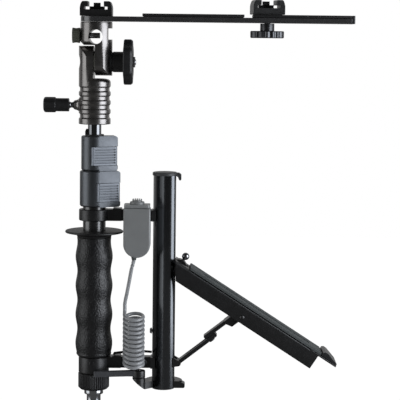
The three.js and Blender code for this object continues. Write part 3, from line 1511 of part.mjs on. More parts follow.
// A shoe with its foot at Z = 0: the stop and its tab stand at the back
function shoeGeometry() {
  const back = SHOE_DEPTH / 2;
  const stopFront = back - SHOE_STOP_DEPTH;
  const sunk = SHOE_FLOOR - EDGE;
  const stop = block(
    -SHOE_STOP_WIDTH / 2,
    SHOE_STOP_WIDTH / 2,
    stopFront,
    back,
    sunk,
    SHOE_FLOOR + SHOE_STOP_HEIGHT,
  );
  const tabHalf = SHOE_TAB_WIDTH / 2;
  const tab = block(-tabHalf, tabHalf, stopFront, back, sunk, SHOE_FLOOR + SHOE_TAB_HEIGHT);
  return joined(slab(shoeOutline(), SHOE_DEPTH, 4), stop, tab);
}

function addLeftShoe() {
  const shoe = shoeGeometry().translate(HEAD_OFFSET, 0, BAR_TOP + SEAT_GAP);
  piece(head, "left_shoe", shoe, blackPaint);
}

function addRightShoe() {
  const shoeFoot = BAR_TOP + PAD_THICKNESS + SEAT_GAP;
  const carriage = placed(head, RIGHT_SHOE_X, 0, 0);
  carriage.rotation.z = THREE.MathUtils.degToRad(SHOE_SWIVEL);
  const stemTop = BAR_FOOT - RUN_GAP;
  const wheelTop = stemTop - WHEEL_STEM_LENGTH;
  const wheelFoot = wheelTop - WHEEL_HEIGHT;
  const stud = rod(SHOE_STUD_DIAMETER / 2, wheelFoot + EDGE, shoeFoot + EDGE, SMALL);
  piece(carriage, "right_shoe", joined(shoeGeometry().translate(0, 0, shoeFoot), stud), blackPaint);

  const radius = WHEEL_DIAMETER / 2;
  const fluted = plate(lobedShape(radius, WHEEL_FLUTE_DEPTH, WHEEL_FLUTES, 4), wheelFoot, wheelTop);
  const envelope = edgedRod(radius, wheelFoot, wheelTop, EDGE, FINE);
  const stem = rod(WHEEL_STEM_DIAMETER / 2, wheelTop - EDGE, stemTop, SMALL);
  const bore = rod(SHOE_STUD_DIAMETER / 2 + BORE_GAP, wheelFoot - OVERRUN, stemTop + OVERRUN, SMALL);
  piece(carriage, "thumb_wheel", cut(joined(common(fluted, envelope), stem), bore), gunmetal);
}

// Camera platform. Its group has its origin on the hinge and its X axis down the slope.

function addHinge() {
  const nose = slab(
    [
      [POST_X, HINGE_Z - LUG_NECK_BELOW],
      [HINGE_X, HINGE_Z - LUG_NECK_BELOW],
      [HINGE_X, HINGE_Z + LUG_RADIUS],
      [POST_X, HINGE_Z + LUG_RADIUS],
    ],
    LUG_WIDTH,
  );
  const barrel = crossRod(LUG_RADIUS, HINGE_X, HINGE_Z, LUG_WIDTH, 24);
  const hubWidth = PLATFORM_WIDTH - 2 * SHEET - 2 * RUN_GAP;
  const hub = crossRod(HINGE_HUB_RADIUS, HINGE_X, HINGE_Z, hubWidth, 20);
  const seatReach = LUG_RADIUS + OVERRUN;
  const seat = rod(POST_RADIUS + SEAT_GAP, HINGE_Z - seatReach, HINGE_Z + seatReach, FINE);
  const pinHole = crossRod(HINGE_PIN_DIAMETER / 2 + BORE_GAP, HINGE_X, HINGE_Z, PLATFORM_WIDTH, 16);
  const slope = THREE.MathUtils.degToRad(PLATFORM_SLOPE);
  const stemHole = rod(BALL_STEM_DIAMETER / 2 + BORE_GAP, HINGE_HUB_RADIUS + EDGE, LUG_RADIUS + OVERRUN, TINY)
    .rotateY(slope)
    .translate(HINGE_X, 0, HINGE_Z);
  const lug = cut(joined(nose, barrel, hub), seat.translate(POST_X, 0, 0), pinHole, stemHole);
  piece(bracket, "hinge_lug", lug, blackPaint);

  const outside = PLATFORM_WIDTH / 2 + SEAT_GAP;
  const headed = outside + PIN_HEAD_THICKNESS;
  const pin = turned(
    [
      [0, -headed],
      [PIN_HEAD_RADIUS / 2, -headed],
      [PIN_HEAD_RADIUS, -outside],
      [HINGE_PIN_DIAMETER / 2, -outside],
      [HINGE_PIN_DIAMETER / 2, outside],
      [PIN_HEAD_RADIUS, outside],
      [PIN_HEAD_RADIUS / 2, headed],
      [0, headed],
    ],
    16,
  ).rotateX(Math.PI / 2);
  piece(bracket, "hinge_pin", pin.translate(HINGE_X, 0, HINGE_Z), steel);

  const ball = BALL_DIAMETER / 2;
  const stemRadius = BALL_STEM_DIAMETER / 2;
  const profile = [
    [0, HINGE_HUB_RADIUS + EDGE + SEAT_GAP],
    [stemRadius, HINGE_HUB_RADIUS + EDGE + SEAT_GAP],
  ];
  const low = Math.PI / 2 - Math.asin(stemRadius / ball);
  const steps = 8;
  for (let i = 0; i <= steps; i++) {
    const turn = -low + (i / steps) * (low + Math.PI / 2);
    profile.push([i === steps ? 0 : ball * Math.cos(turn), BALL_HEIGHT + ball * Math.sin(turn)]);
  }
  const screw = turned(profile, 16).rotateY(slope).translate(HINGE_X, 0, HINGE_Z);
  piece(bracket, "hinge_lock_screw", screw, chrome);
}

const platform = placed(bracket, HINGE_X, 0, HINGE_Z);
platform.rotation.y = THREE.MathUtils.degToRad(PLATFORM_SLOPE);

// Where the post's clear line crosses a given height of the platform's own frame
function postCut(height) {
  const slope = THREE.MathUtils.degToRad(PLATFORM_SLOPE);
  const clearX = POST_X + POST_RADIUS + CHANNEL_POST_GAP - HINGE_X;
  return (clearX - height * Math.sin(slope)) / Math.cos(slope);
}

// A point given in the bracket's X and Z, in the platform's own frame
function onPlatform(x, z) {
  const slope = THREE.MathUtils.degToRad(PLATFORM_SLOPE);
  const dx = x - HINGE_X;
  const dz = z - HINGE_Z;
  return [dx * Math.cos(slope) - dz * Math.sin(slope), dx * Math.sin(slope) + dz * Math.cos(slope)];
}

function addPlatform() {
  const foot = PLATE_TOP - CHANNEL_HEIGHT;
  const channelEnd = PLATE_LENGTH - PLATE_LIP;
  const stopEnd = PLATE_LENGTH - END_STOP_INSET;
  const stopStart = stopEnd - END_STOP_LENGTH;
  const padEnd = stopStart - 2 * SEAT_GAP;
  const slotEnd = padEnd - CAMERA_SLOT_INSET;
  const under = PLATE_TOP - SHEET;
  const side = slab(
    [
      [postCut(PLATE_TOP), PLATE_TOP],
      [postCut(foot), foot],
      [channelEnd, foot],
      [channelEnd, under],
      [PLATE_LENGTH, under],
      [PLATE_LENGTH, PLATE_TOP],
    ],
    PLATFORM_WIDTH,
  );
  const inside = PLATFORM_WIDTH / 2 - SHEET;
  const hollow = block(-PLATE_LENGTH, PLATE_LENGTH, -inside, inside, foot - OVERRUN, under);
  const notchEnd = LUG_RADIUS - SHEET / 2;
  const notch = LUG_WIDTH / 2 + RUN_GAP;
  const lugNotch = block(-PLATE_LENGTH, notchEnd, -notch, notch, foot, PLATE_TOP + OVERRUN);
  const pinHole = crossRod(HINGE_PIN_DIAMETER / 2 + BORE_GAP, 0, 0, PLATFORM_WIDTH + OVERRUN, 16);
  const [topU, topV] = onPlatform(STRUT_TOP_X, STRUT_TOP_Z);
  const strutHole = crossRod(STRUT_TOP_PIN_DIAMETER / 2 + BORE_GAP, topU, topV, PLATFORM_WIDTH + OVERRUN, 16);
  const slot = plate(
    slotShape(CAMERA_SLOT_START, slotEnd, CAMERA_SLOT_WIDTH),
    under - OVERRUN,
    PLATE_TOP + OVERRUN,
    6,
  );
  piece(platform, "platform", cut(side, hollow, lugNotch, pinHole, strutHole, slot), blackPaint);

  const padFoot = PLATE_TOP + SEAT_GAP;
  const padTop = PLATE_TOP + CAMERA_PAD_THICKNESS;
  const padLength = padEnd - CAMERA_PAD_START;
  const padOutline = roundedRectangle(padLength, PLATFORM_WIDTH, PAD_CORNER);
  const padPlate = plate(padOutline, padFoot, padTop, 3).translate(
    (CAMERA_PAD_START + padEnd) / 2,
    0,
    0,
  );
  const grooves = [];
  for (const sign of [-1, 1]) {
    for (let i = 0; i < 3; i++) {
      const middle = sign * (CAMERA_PAD_FIRST_RIB + i * CAMERA_PAD_RIB_PITCH);
      grooves.push(
        block(
          CAMERA_PAD_START - OVERRUN,
          padEnd + OVERRUN,
          middle - CAMERA_PAD_RIB / 2,
          middle + CAMERA_PAD_RIB / 2,
          padTop - CAMERA_PAD_RIB,
          padTop + OVERRUN,
        ),
      );
    }
  }
  const padSlot = plate(
    slotShape(CAMERA_SLOT_START, slotEnd, CAMERA_SLOT_WIDTH),
    padFoot - OVERRUN,
    padTop + OVERRUN,
    6,
  );
  piece(platform, "platform_pad", cut(padPlate, padSlot, ...grooves), greyRubber);

  const stop = slab(
    [
      [stopStart, padFoot],
      [stopEnd, padFoot],
      [stopEnd, padFoot + END_STOP_LOW],
      [stopStart + END_STOP_CREST, padFoot + END_STOP_HEIGHT],
      [stopStart + END_STOP_BEVEL, padFoot + END_STOP_HEIGHT],
      [stopStart, padFoot + END_STOP_NOSE],
    ],
    PLATFORM_WIDTH,
  );
  piece(platform, "end_stop", stop, blackPlastic);

  const outside = PLATFORM_WIDTH / 2 + SEAT_GAP;
  const headed = outside + PIN_HEAD_THICKNESS;
  const pinRadius = STRUT_TOP_PIN_DIAMETER / 2;
  const headRadius = pinRadius + EDGE;
  const strutPin = turned(
    [
      [0, -headed],
      [headRadius / 2, -headed],
      [headRadius, -outside],
      [pinRadius, -outside],
      [pinRadius, outside],
      [headRadius, outside],
      [headRadius / 2, headed],
      [0, headed],
    ],
    TINY,
  ).rotateX(Math.PI / 2);
  piece(platform, "strut_pin", strutPin.translate(topU, 0, topV), steel);
}

// Sliding strut. Its group has its origin at the lower pivot and its X axis along the strut.

const strutRise = Math.atan2(STRUT_TOP_Z - STRUT_FOOT_Z, STRUT_TOP_X - STRUT_FOOT_X);
const strutSpan = Math.hypot(STRUT_TOP_X - STRUT_FOOT_X, STRUT_TOP_Z - STRUT_FOOT_Z);
const strut = placed(bracket, STRUT_FOOT_X, 0, STRUT_FOOT_Z);
strut.rotation.y = -strutRise;

function addStrut() {
  const half = STRUT_THICKNESS / 2;
  const bar = slab(
    [
      [0, -half],
      [STRUT_LOWER_LENGTH - EDGE, -half],
      [STRUT_LOWER_LENGTH, EDGE - half],
      [STRUT_LOWER_LENGTH, half - EDGE],
      [STRUT_LOWER_LENGTH - EDGE, half],
      [0, half],
    ],
    STRUT_WIDTH,
  );
  const eye = crossRod(STRUT_EYE_RADIUS, 0, 0, STRUT_WIDTH, SMALL);
  const eyeHole = crossRod(STRUT_PIN_DIAMETER / 2 + BORE_GAP, 0, 0, STRUT_WIDTH + OVERRUN, TINY);
  const upperStart = strutSpan - STRUT_UPPER_LENGTH;
  const rivetX = upperStart + RIVET_INSET;
  const slotEnd = rivetX + STRUT_SLOT_WIDTH / 2;
  const slot = plate(
    slotShape(rivetX - STRUT_TRAVEL - STRUT_SLOT_WIDTH / 2, slotEnd, STRUT_SLOT_WIDTH),
    -half - OVERRUN,
    half + OVERRUN,
    6,
  );
  piece(strut, "strut_lower", cut(joined(bar, eye), eyeHole, slot), blackPaint);

  const upperFoot = half + RUN_GAP;
  const upperTop = upperFoot + STRUT_THICKNESS;
  const cheekStart = strutSpan - STRUT_CHEEK_LENGTH;
  const cheekEnd = strutSpan + STRUT_EYE_END;
  const innerHalf = STRUT_WIDTH / 2 + RUN_GAP;
  const width = 2 * (innerHalf + STRUT_CHEEK);
  const cheeks = cut(
    slab(
      [
        [cheekStart + STRUT_CHEEK_DROP, -STRUT_CHEEK_DROP],
        [cheekEnd - EDGE, -STRUT_CHEEK_DROP],
        [cheekEnd, EDGE - STRUT_CHEEK_DROP],
        [cheekEnd, upperTop - EDGE],
        [cheekEnd - EDGE, upperTop],
        [cheekStart, upperTop],
        [cheekStart, upperFoot],
      ],
      width,
    ),
    block(
      cheekStart - OVERRUN,
      cheekEnd + OVERRUN,
      -innerHalf,
      innerHalf,
      -STRUT_CHEEK_DROP - OVERRUN,
      upperFoot,
    ),
  );
  const upperBar = slab(
    [
      [upperStart, upperFoot + EDGE],
      [upperStart + EDGE, upperFoot],
      [cheekStart + EDGE, upperFoot],
      [cheekStart + EDGE, upperTop],
      [upperStart + EDGE, upperTop],
      [upperStart, upperTop - EDGE],
    ],
    STRUT_WIDTH,
  );
  const rivetFoot = -half - RUN_GAP - RIVET_HEAD_THICKNESS;
  const rivet = turned(
    [
      [0, rivetFoot],
      [RIVET_HEAD_DIAMETER / 2 - EDGE / 2, rivetFoot],
      [RIVET_HEAD_DIAMETER / 2, rivetFoot + EDGE / 2],
      [RIVET_HEAD_DIAMETER / 2, -half - RUN_GAP],
      [RIVET_DIAMETER / 2, -half - RUN_GAP],
      [RIVET_DIAMETER / 2, upperFoot + EDGE],
      [0, upperFoot + EDGE],
    ],
    TINY,
  ).translate(rivetX, 0, 0);
  const pivotHole = crossRod(
    STRUT_TOP_PIN_DIAMETER / 2 + STRUT_TOP_CLEARANCE,
    strutSpan,
    0,
    PLATFORM_WIDTH,
    16,
  );
  piece(strut, "strut_upper", cut(joined(upperBar, cheeks, rivet), pivotHole), blackPaint);
}

function addStrutClevis() {
  const inner = STRUT_WIDTH / 2 + RUN_GAP;
  const width = 2 * (inner + CLEVIS_EAR);
  const foot = STRUT_FOOT_Z - CLEVIS_HEIGHT / 2;
  const top = STRUT_FOOT_Z + CLEVIS_HEIGHT / 2;
  const bodyBlank = slab(
    [
      [POST_X, foot],
      [STRUT_FOOT_X, STRUT_FOOT_Z - STRUT_EYE_RADIUS],
      [STRUT_FOOT_X, STRUT_FOOT_Z + STRUT_EYE_RADIUS],
      [POST_X + POST_RADIUS, top],
      [POST_X, top],
    ],
    width,
  );
  const nose = crossRod(STRUT_EYE_RADIUS, STRUT_FOOT_X, STRUT_FOOT_Z, width, SMALL);
  const gap = block(
    STRUT_FOOT_X - STRUT_EYE_RADIUS - RUN_GAP,
    STRUT_FOOT_X + STRUT_EYE_RADIUS + OVERRUN,
    -inner,
    inner,
    foot - OVERRUN,
    top + OVERRUN,
  );
  const seat = rod(POST_RADIUS + SEAT_GAP, foot - OVERRUN, top + OVERRUN, FINE).translate(POST_X, 0, 0);
  const behindEnd = POST_X + POST_RADIUS / 2;
  const behind = block(POST_X - OVERRUN, behindEnd, -width, width, foot - OVERRUN, top + OVERRUN);
  const pin = crossRod(STRUT_PIN_DIAMETER / 2, STRUT_FOOT_X, STRUT_FOOT_Z, width, TINY);
  piece(bracket, "strut_clevis", joined(cut(joined(bodyBlank, nose), gap, seat, behind), pin), blackPaint);
}

// Remote release hooked on the upper arm

function addRemote() {
  const back = -ARM_THICKNESS / 2 - SEAT_GAP;
  const front = back - REMOTE_DEPTH;
  const middleY = (back + front) / 2;
  const radius = REMOTE_WIDTH / 2;
  const top = REMOTE_FOOT + REMOTE_HEIGHT;
  const outline = new THREE.Shape();
  outline.moveTo(radius, top);
  outline.lineTo(-radius, top);
  outline.lineTo(-radius, REMOTE_FOOT + radius);
  outline.absarc(0, REMOTE_FOOT + radius, radius, Math.PI, 2 * Math.PI, false);
  const shell = new THREE.ExtrudeGeometry(outline, {
    depth: REMOTE_DEPTH - 2 * REMOTE_EDGE,
    bevelEnabled: true,
    bevelThickness: REMOTE_EDGE,
    bevelSize: REMOTE_EDGE,
    bevelOffset: -REMOTE_EDGE,
    bevelSegments: 2,
    curveSegments: 12,
  })
    .rotateX(Math.PI / 2)
    .translate(REMOTE_X, back - REMOTE_EDGE, 0);
  const reliefRoom = RELIEF_DIAMETER / 2 + SEAT_GAP;
  const relief = rod(reliefRoom, REMOTE_FOOT - OVERRUN, REMOTE_FOOT + RELIEF_LENGTH, SMALL).translate(
    RELIEF_X,
    middleY,
    0,
  );
  piece(bracket, "remote_body", cut(shell, relief), greyPlastic);

  const capFoot = top + SEAT_GAP;
  const capTop = capFoot + REMOTE_CAP_HEIGHT;
  const baseTop = capTop + BUTTON_BASE_HEIGHT;
  const cap = plate(
    roundedRectangle(REMOTE_WIDTH - REMOTE_EDGE, REMOTE_DEPTH, REMOTE_EDGE * 2),
    capFoot,
    capTop,
    4,
  );
  const base = turned(
    [
      [0, capTop - EDGE],
      [BUTTON_BASE_DIAMETER / 2, capTop - EDGE],
      [BUTTON_BASE_DIAMETER / 2, baseTop - EDGE],
      [BUTTON_BASE_DIAMETER / 2 - EDGE, baseTop],
      [0, baseTop],
    ],
    24,
  );
  const well = rod(BUTTON_DIAMETER / 2 + RUN_GAP, capTop - EDGE, baseTop + OVERRUN, 24);
  piece(bracket, "remote_cap", cut(joined(cap, base), well).translate(REMOTE_X, middleY, 0), greyPlastic);

  const buttonFoot = capTop - EDGE + BUTTON_TRAVEL_GAP;
  const buttonTop = buttonFoot + BUTTON_HEIGHT;
  const button = edgedRod(BUTTON_DIAMETER / 2, buttonFoot, buttonTop, EDGE, 24);
  const ribs = [];
  const ribPitch = BUTTON_DIAMETER / (BUTTON_RIBS + 1);
  for (let i = 1; i <= BUTTON_RIBS; i++) {
    const middle = i * ribPitch - BUTTON_DIAMETER / 2;
    ribs.push(
      block(
        middle - ribPitch / 4,
        middle + ribPitch / 4,
        -BUTTON_DIAMETER,
        BUTTON_DIAMETER,
        buttonTop - BUTTON_RIB_DEPTH,
        buttonTop + OVERRUN,
      ),
    );
  }
  piece(bracket, "remote_button", cut(button, ...ribs).translate(REMOTE_X, middleY, 0), greyPlastic);

  const armTop = UPPER_ARM_TOP + SEAT_GAP;
  const tongue = ARM_THICKNESS / 2 + SEAT_GAP;
  const bridgeFront = back + SEAT_GAP;
  const clip = new THREE.Shape();
  clip.moveTo(bridgeFront, armTop);
  clip.lineTo(tongue, armTop);
  clip.lineTo(tongue, armTop - CLIP_DROP);
  clip.lineTo(tongue + CLIP_THICKNESS, armTop - CLIP_DROP);
  clip.lineTo(tongue + CLIP_THICKNESS, armTop + CLIP_THICKNESS);
  clip.lineTo(bridgeFront, armTop + CLIP_THICKNESS);
  const clipPlate = plate(clip, -CLIP_WIDTH / 2, CLIP_WIDTH / 2).rotateX(Math.PI / 2).rotateZ(Math.PI / 2);
  piece(bracket, "remote_clip", clipPlate.translate(REMOTE_X, 0, 0), steel);

  const sleeve = turned(
    [
      [0, REMOTE_FOOT - RELIEF_LENGTH],
      [CORD_DIAMETER / 2 + SEAT_GAP, REMOTE_FOOT - RELIEF_LENGTH],
      [RELIEF_DIAMETER / 2, REMOTE_FOOT],
      [RELIEF_DIAMETER / 2, REMOTE_FOOT + RELIEF_LENGTH - SEAT_GAP],
      [0, REMOTE_FOOT + RELIEF_LENGTH - SEAT_GAP],
    ],
    16,
  );
  piece(bracket, "cord_relief", sleeve.translate(RELIEF_X, middleY, 0), greyRubber);
}

// Steps of the bend from the lead into the first curl
const curlBendShares = [1 / 3, 2 / 3];

// The curls go down and anticlockwise seen from above, from the lead's foot to the socket on the arm.
// Each leans, its front lower than its back.
function curlPath() {
  const socketZ = LOWER_ARM_FOOT + SOCKET_HEIGHT;
  const top = socketZ + CURL_TURNS * CURL_PITCH;
  const startX = CURL_X - CURL_RADIUS;
  const startY = CURL_Y + CURL_BEND;
  const path = [
    [startX, startY, top + CURL_BEND + CURL_LEAD],
    [startX, startY, top + CURL_BEND],
  ];
  for (const share of curlBendShares) {
    const turn = (share * Math.PI) / 2;
    path.push([startX, startY - CURL_BEND * (1 - Math.cos(turn)), top + CURL_BEND * (1 - Math.sin(turn))]);
  }
  const steps = CURL_TURNS * CURL_STEPS;
  for (let i = 0; i <= steps; i++) {
    const turn = Math.PI + (i / CURL_STEPS) * 2 * Math.PI;
    const side = CURL_RADIUS * Math.sin(turn);
    const lean = CURL_LEAN * Math.min(1, (steps - i) / (CURL_STEPS * CURL_LEVEL_SHARE));
    const drop = (i / CURL_STEPS) * CURL_PITCH;
    path.push([CURL_X + CURL_RADIUS * Math.cos(turn), CURL_Y + side, top - drop + lean * side]);
  }
  const socketFace = -ARM_THICKNESS / 2 - SEAT_GAP - SOCKET_LENGTH;
  path.push([CURL_X + CURL_RADIUS, socketFace - SEAT_GAP - CORD_DIAMETER, socketZ]);
  path.push([CURL_X + CURL_RADIUS, socketFace - SEAT_GAP, socketZ]);
  return path;
}

// Least free gap between two stretches of a tube more than half a turn apart, measured on its points
function leastGap(geometry, sides, apart) {
  const at = geometry.getAttribute("position");
  const rings = at.count / sides;
  const a = new THREE.Vector3();
  const b = new THREE.Vector3();
  let least = Infinity;
  for (let i = 0; i < rings; i++) {
    for (let j = i + apart; j < rings; j++) {
      for (let k = 0; k < sides; k++) {
        a.fromBufferAttribute(at, i * sides + k);
        for (let m = 0; m < sides; m++) {
          b.fromBufferAttribute(at, j * sides + m);
          least = Math.min(least, a.distanceTo(b));
        }
      }
    }
  }
  return least;
}

function addCord() {
  const radius = CORD_DIAMETER / 2;
  const curls = tubeAlong(curlPath(), radius, CURL_SIDES);
  const gap = leastGap(curls, CURL_SIDES, CURL_STEPS / 2);
  console.log("least gap of the curly cord to itself:", gap.toFixed(2), "mm");
  piece(bracket, "cord_coil", curls, cordGrey);
  piece(bracket, "cord_lead", tubeAlong(LEAD_ROUTE, radius, LEAD_SIDES), cordGrey);

  const face = -ARM_THICKNESS / 2 - SEAT_GAP;
  const socket = edgedRod(SOCKET_OUTER_DIAMETER / 2, -face, SOCKET_LENGTH - face, SEAT_GAP, SMALL)
    .rotateX(Math.PI / 2)
    .translate(CURL_X + CURL_RADIUS, 0, LOWER_ARM_FOOT + SOCKET_HEIGHT);
  piece(bracket, "cord_socket", socket, blackPlastic);
}

addSpigot();
addBaseNut();
addBaseTube();
addGrip();
addHandGuard();
addArms();
addPost();
addPostCap();
addReleaseLever();
addBraceWire();
addLocks();
addInnerTubes();
addClampBody();
addClampKnob();
addTiltBolt();
addTiltKnob();
addHeadBody();
addUmbrellaScrew();
addFlashBar();
addLeftShoe();
addRightShoe();
addHinge();
addPlatform();
addStrut();
addStrutClevis();
addRemote();
addCord();

export default bracket;
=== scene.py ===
"""Camera flash bracket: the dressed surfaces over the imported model.

Shapes are worked out in millimetres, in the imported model's frame: the pole's axis is Z, the arms
and the flash bar run along +X, and the viewer stands on the -Y side. A mesh is scaled to metres
when it is made. Each round or carried shape is a grid of points computed as whole arrays.
"""

import json
import math

import bmesh
import bpy
import numpy as np
from mathutils import Euler, Matrix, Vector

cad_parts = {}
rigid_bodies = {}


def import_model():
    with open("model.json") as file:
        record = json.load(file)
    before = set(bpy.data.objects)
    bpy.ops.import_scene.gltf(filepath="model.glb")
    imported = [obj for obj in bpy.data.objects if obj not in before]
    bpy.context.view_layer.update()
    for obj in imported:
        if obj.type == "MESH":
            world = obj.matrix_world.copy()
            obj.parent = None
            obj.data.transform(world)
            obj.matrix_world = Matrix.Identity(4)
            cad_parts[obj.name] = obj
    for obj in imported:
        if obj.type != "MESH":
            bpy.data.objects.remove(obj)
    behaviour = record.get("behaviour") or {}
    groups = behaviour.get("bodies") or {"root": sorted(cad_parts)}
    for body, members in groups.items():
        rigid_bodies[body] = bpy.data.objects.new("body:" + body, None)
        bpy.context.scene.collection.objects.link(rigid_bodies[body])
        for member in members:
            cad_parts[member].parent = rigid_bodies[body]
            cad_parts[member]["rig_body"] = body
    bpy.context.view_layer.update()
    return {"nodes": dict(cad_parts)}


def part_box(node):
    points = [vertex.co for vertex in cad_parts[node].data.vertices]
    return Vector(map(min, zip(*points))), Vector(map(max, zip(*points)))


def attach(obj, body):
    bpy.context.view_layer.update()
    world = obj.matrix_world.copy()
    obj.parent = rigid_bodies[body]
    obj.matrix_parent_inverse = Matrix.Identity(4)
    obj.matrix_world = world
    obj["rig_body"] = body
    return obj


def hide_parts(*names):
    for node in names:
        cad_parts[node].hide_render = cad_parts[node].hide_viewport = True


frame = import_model()
NODES = frame["nodes"]
MM = 0.001
SIDES = 96
SOFT_ANGLE = 35

# In millimetres: how far a cutting piece runs past what it cuts, and the room round a fitted part
OVERRUN = 2
GAP = 0.3

# In metres: points nearer than this are one
MERGE = 1e-7
CAD_MERGE = 1e-6

# Fillets: radians, the share of a side that an arc may take, and the least step in millimetres
NEARLY_STRAIGHT = 1e-4
SHARPEST_HALF = 1e-3
MOST_OF_SIDE = 0.49
LEAST_STEP = 1e-5

# Camera, as the photograph's perspective gives it
PHOTO_SIZE = 400
FOCAL_PIXELS = 1500
SENSOR = 36
CAMERA_AIM = (0.1021, 0, 0.2156)
CAMERA_DISTANCE = 1.45
CAMERA_PITCH = 6.2
CAMERA_ROLL = 0.65

# Studio lamps: degrees from the front towards the right, width, level and colour
LAMP_DISTANCE = 1.3
LAMP_HEIGHT = 1.5
LAMP_CENTRE_Z = 0.42
LAMPS = {
    "right_lamp": (65, 1.16, 3, (0.945, 0.985, 1.055)),
    "left_lamp": (-74, 0.95, 1.1, (0.98, 1, 1.02)),
}
AMBIENT = 0.22
ROOM_LEVEL = 0.035
BEHIND_LEVEL = 0.55
BEHIND_RANGE = (0.3, 0.9)
FLOOR_Z = -0.42
FLOOR_SIZE = 9
FLOOR_COLOUR = (0.86, 0.86, 0.86, 1)
FLOOR_GLOW = 1.06
FLOOR_GLOW_SHARE = 0.96
FLOOR_IN_GLOSS = 0.1

# Finishes: noise scales per metre, the noise values that the two colours and roughnesses sit at,
# and the span of X over which the side post's gloss goes from painted shade on its left to full
PATCH_SCALE = 70
WEAR_SCALE = 260
NOISE_LOW, NOISE_HIGH = 0.3, 0.7
BAND_START, BAND_END = 0.0655, 0.0675
# painted shade: the share of the side post's gloss kept on its left side
POST_PAINTED_SHADE_LEVEL = 0.35
COOL = (0.94, 1, 1.08)

# Remote cord: the listed lead, in metres, then curls about an upright axis
CORD_RADIUS = 1.75
LEAD_ROUTE = [
    (0.0391, -0.0133, 0.1583),
    (0.0383, -0.0133, 0.1545),
    (0.0372, -0.0133, 0.1505),
    (0.0362, -0.0133, 0.1455),
    (0.0350, -0.0132, 0.1385),
    (0.0337, -0.0129, 0.1315),
    (0.0325, -0.0125, 0.1250),
    (0.0314, -0.0122, 0.1200),
    (0.0306, -0.0121, 0.1151),
]
CURL_CENTRE = (39.6, -16.5)
CURL_RADIUS = 9
CURL_PITCH = 4.25
CURL_TURNS = 11.5
CURL_LEAN = 0.3
CURL_LEVEL_SHARE = 0.25
CURL_FOOT = 56.6
CURL_BEND = 4.4
SOCKET_RUN = 8.3
CURL_STATIONS = 32
LEAD_STATIONS = 4
BEND_STATIONS = 7
CORD_SIDES = 16
NEARLY_UP = (0.05, 0, 1)
STEEP = 0.2


# ---------------- camera and studio


def placed(name, data):
    """A new object in the scene, at the origin, from its mesh, camera or light."""
    piece = bpy.data.objects.new(name, data)
    bpy.context.scene.collection.objects.link(piece)
    return piece


def about_z(degrees):
    """The turn about Z by an angle in degrees."""
    return Matrix.Rotation(math.radians(degrees), 3, "Z")


def add_camera():
    """The camera looks at its aim from the distance that one pixel of the photograph gives."""
    data = bpy.data.cameras.new("camera")
    data.sensor_width = SENSOR
    data.lens = SENSOR * FOCAL_PIXELS / PHOTO_SIZE
    camera = placed("camera", data)
    pitch = math.radians(CAMERA_PITCH)
    aim_x, aim_y, aim_z = CAMERA_AIM
    camera.location = (
        aim_x,
        aim_y - CAMERA_DISTANCE * math.cos(pitch),
        aim_z + CAMERA_DISTANCE * math.sin(pitch),
    )
    tilt = Matrix.Rotation(math.pi / 2 - pitch, 3, "X")
    camera.rotation_euler = (tilt @ about_z(CAMERA_ROLL)).to_euler()
    bpy.context.scene.camera = camera


def add_lamp(name, turn, width, level, colour):
    """A soft box at an angle round the object, facing its middle."""
    data = bpy.data.lights.new(name, "AREA")
    data.shape = "RECTANGLE"
    data.size = width
    data.size_y = LAMP_HEIGHT
    data.energy = math.pi * level * width * LAMP_HEIGHT
    data.color = colour
    lamp = placed(name, data)
    angle = math.radians(turn)
    aim_x, aim_y, _ = CAMERA_AIM
    lamp.location = (
        aim_x + LAMP_DISTANCE * math.sin(angle),
        aim_y - LAMP_DISTANCE * math.cos(angle),
        LAMP_CENTRE_Z,
    )
    lamp.rotation_euler = Euler((math.pi / 2, 0, angle))
    lamp.visible_camera = False


def shader_node(tree, kind, inputs=None, **settings):
    """A new node with its settings and inputs: an input is a value, or another node's output."""
    made = tree.nodes.new("ShaderNode" + kind)
    for name, value in settings.items():
        setattr(made, name, value)
    for socket, value in (inputs or {}).items():
        if isinstance(value, bpy.types.NodeSocket):
            tree.links.new(value, made.inputs[socket])
        else:
            made.inputs[socket].default_value = value
    return made


def spread(tree, value, start, end, low, high, **settings):
    """The output of a node that carries a value's range from start to end over to low to high."""
    inputs = {"Value": value, "From Min": start, "From Max": end, "To Min": low, "To Max": high}
    return shader_node(tree, "MapRange", inputs, **settings).outputs["Result"]


def add_world():
    """Even dim light from all round; the camera sees white, and gloss sees white behind the object
    and a dark room in front of it."""
    world = bpy.data.worlds.new("studio")
    world.use_nodes = True
    bpy.context.scene.world = world
    tree = world.node_tree
    tree.nodes.clear()
    ray = shader_node(tree, "LightPath").outputs
    direction = shader_node(tree, "TexCoord").outputs["Generated"]
    y = shader_node(tree, "SeparateXYZ", {0: direction}).outputs["Y"]
    ends = (*BEHIND_RANGE, ROOM_LEVEL, BEHIND_LEVEL)
    behind = spread(tree, y, *ends, interpolation_type="SMOOTHSTEP")
    glossy = {0: ray["Is Glossy Ray"], 1: ray["Is Transmission Ray"]}
    shine = shader_node(tree, "Math", glossy, operation="MAXIMUM")
    levels = {"A": AMBIENT, "Factor": shine.outputs[0], "B": behind}
    room = shader_node(tree, "Mix", levels)
    levels = {"B": 1, "Factor": ray["Is Camera Ray"], "A": room.outputs["Result"]}
    seen = shader_node(tree, "Mix", levels)
    light = {"Color": (1, 1, 1, 1), "Strength": seen.outputs["Result"]}
    shader_node(tree, "OutputWorld", {0: shader_node(tree, "Background", light).outputs[0]})


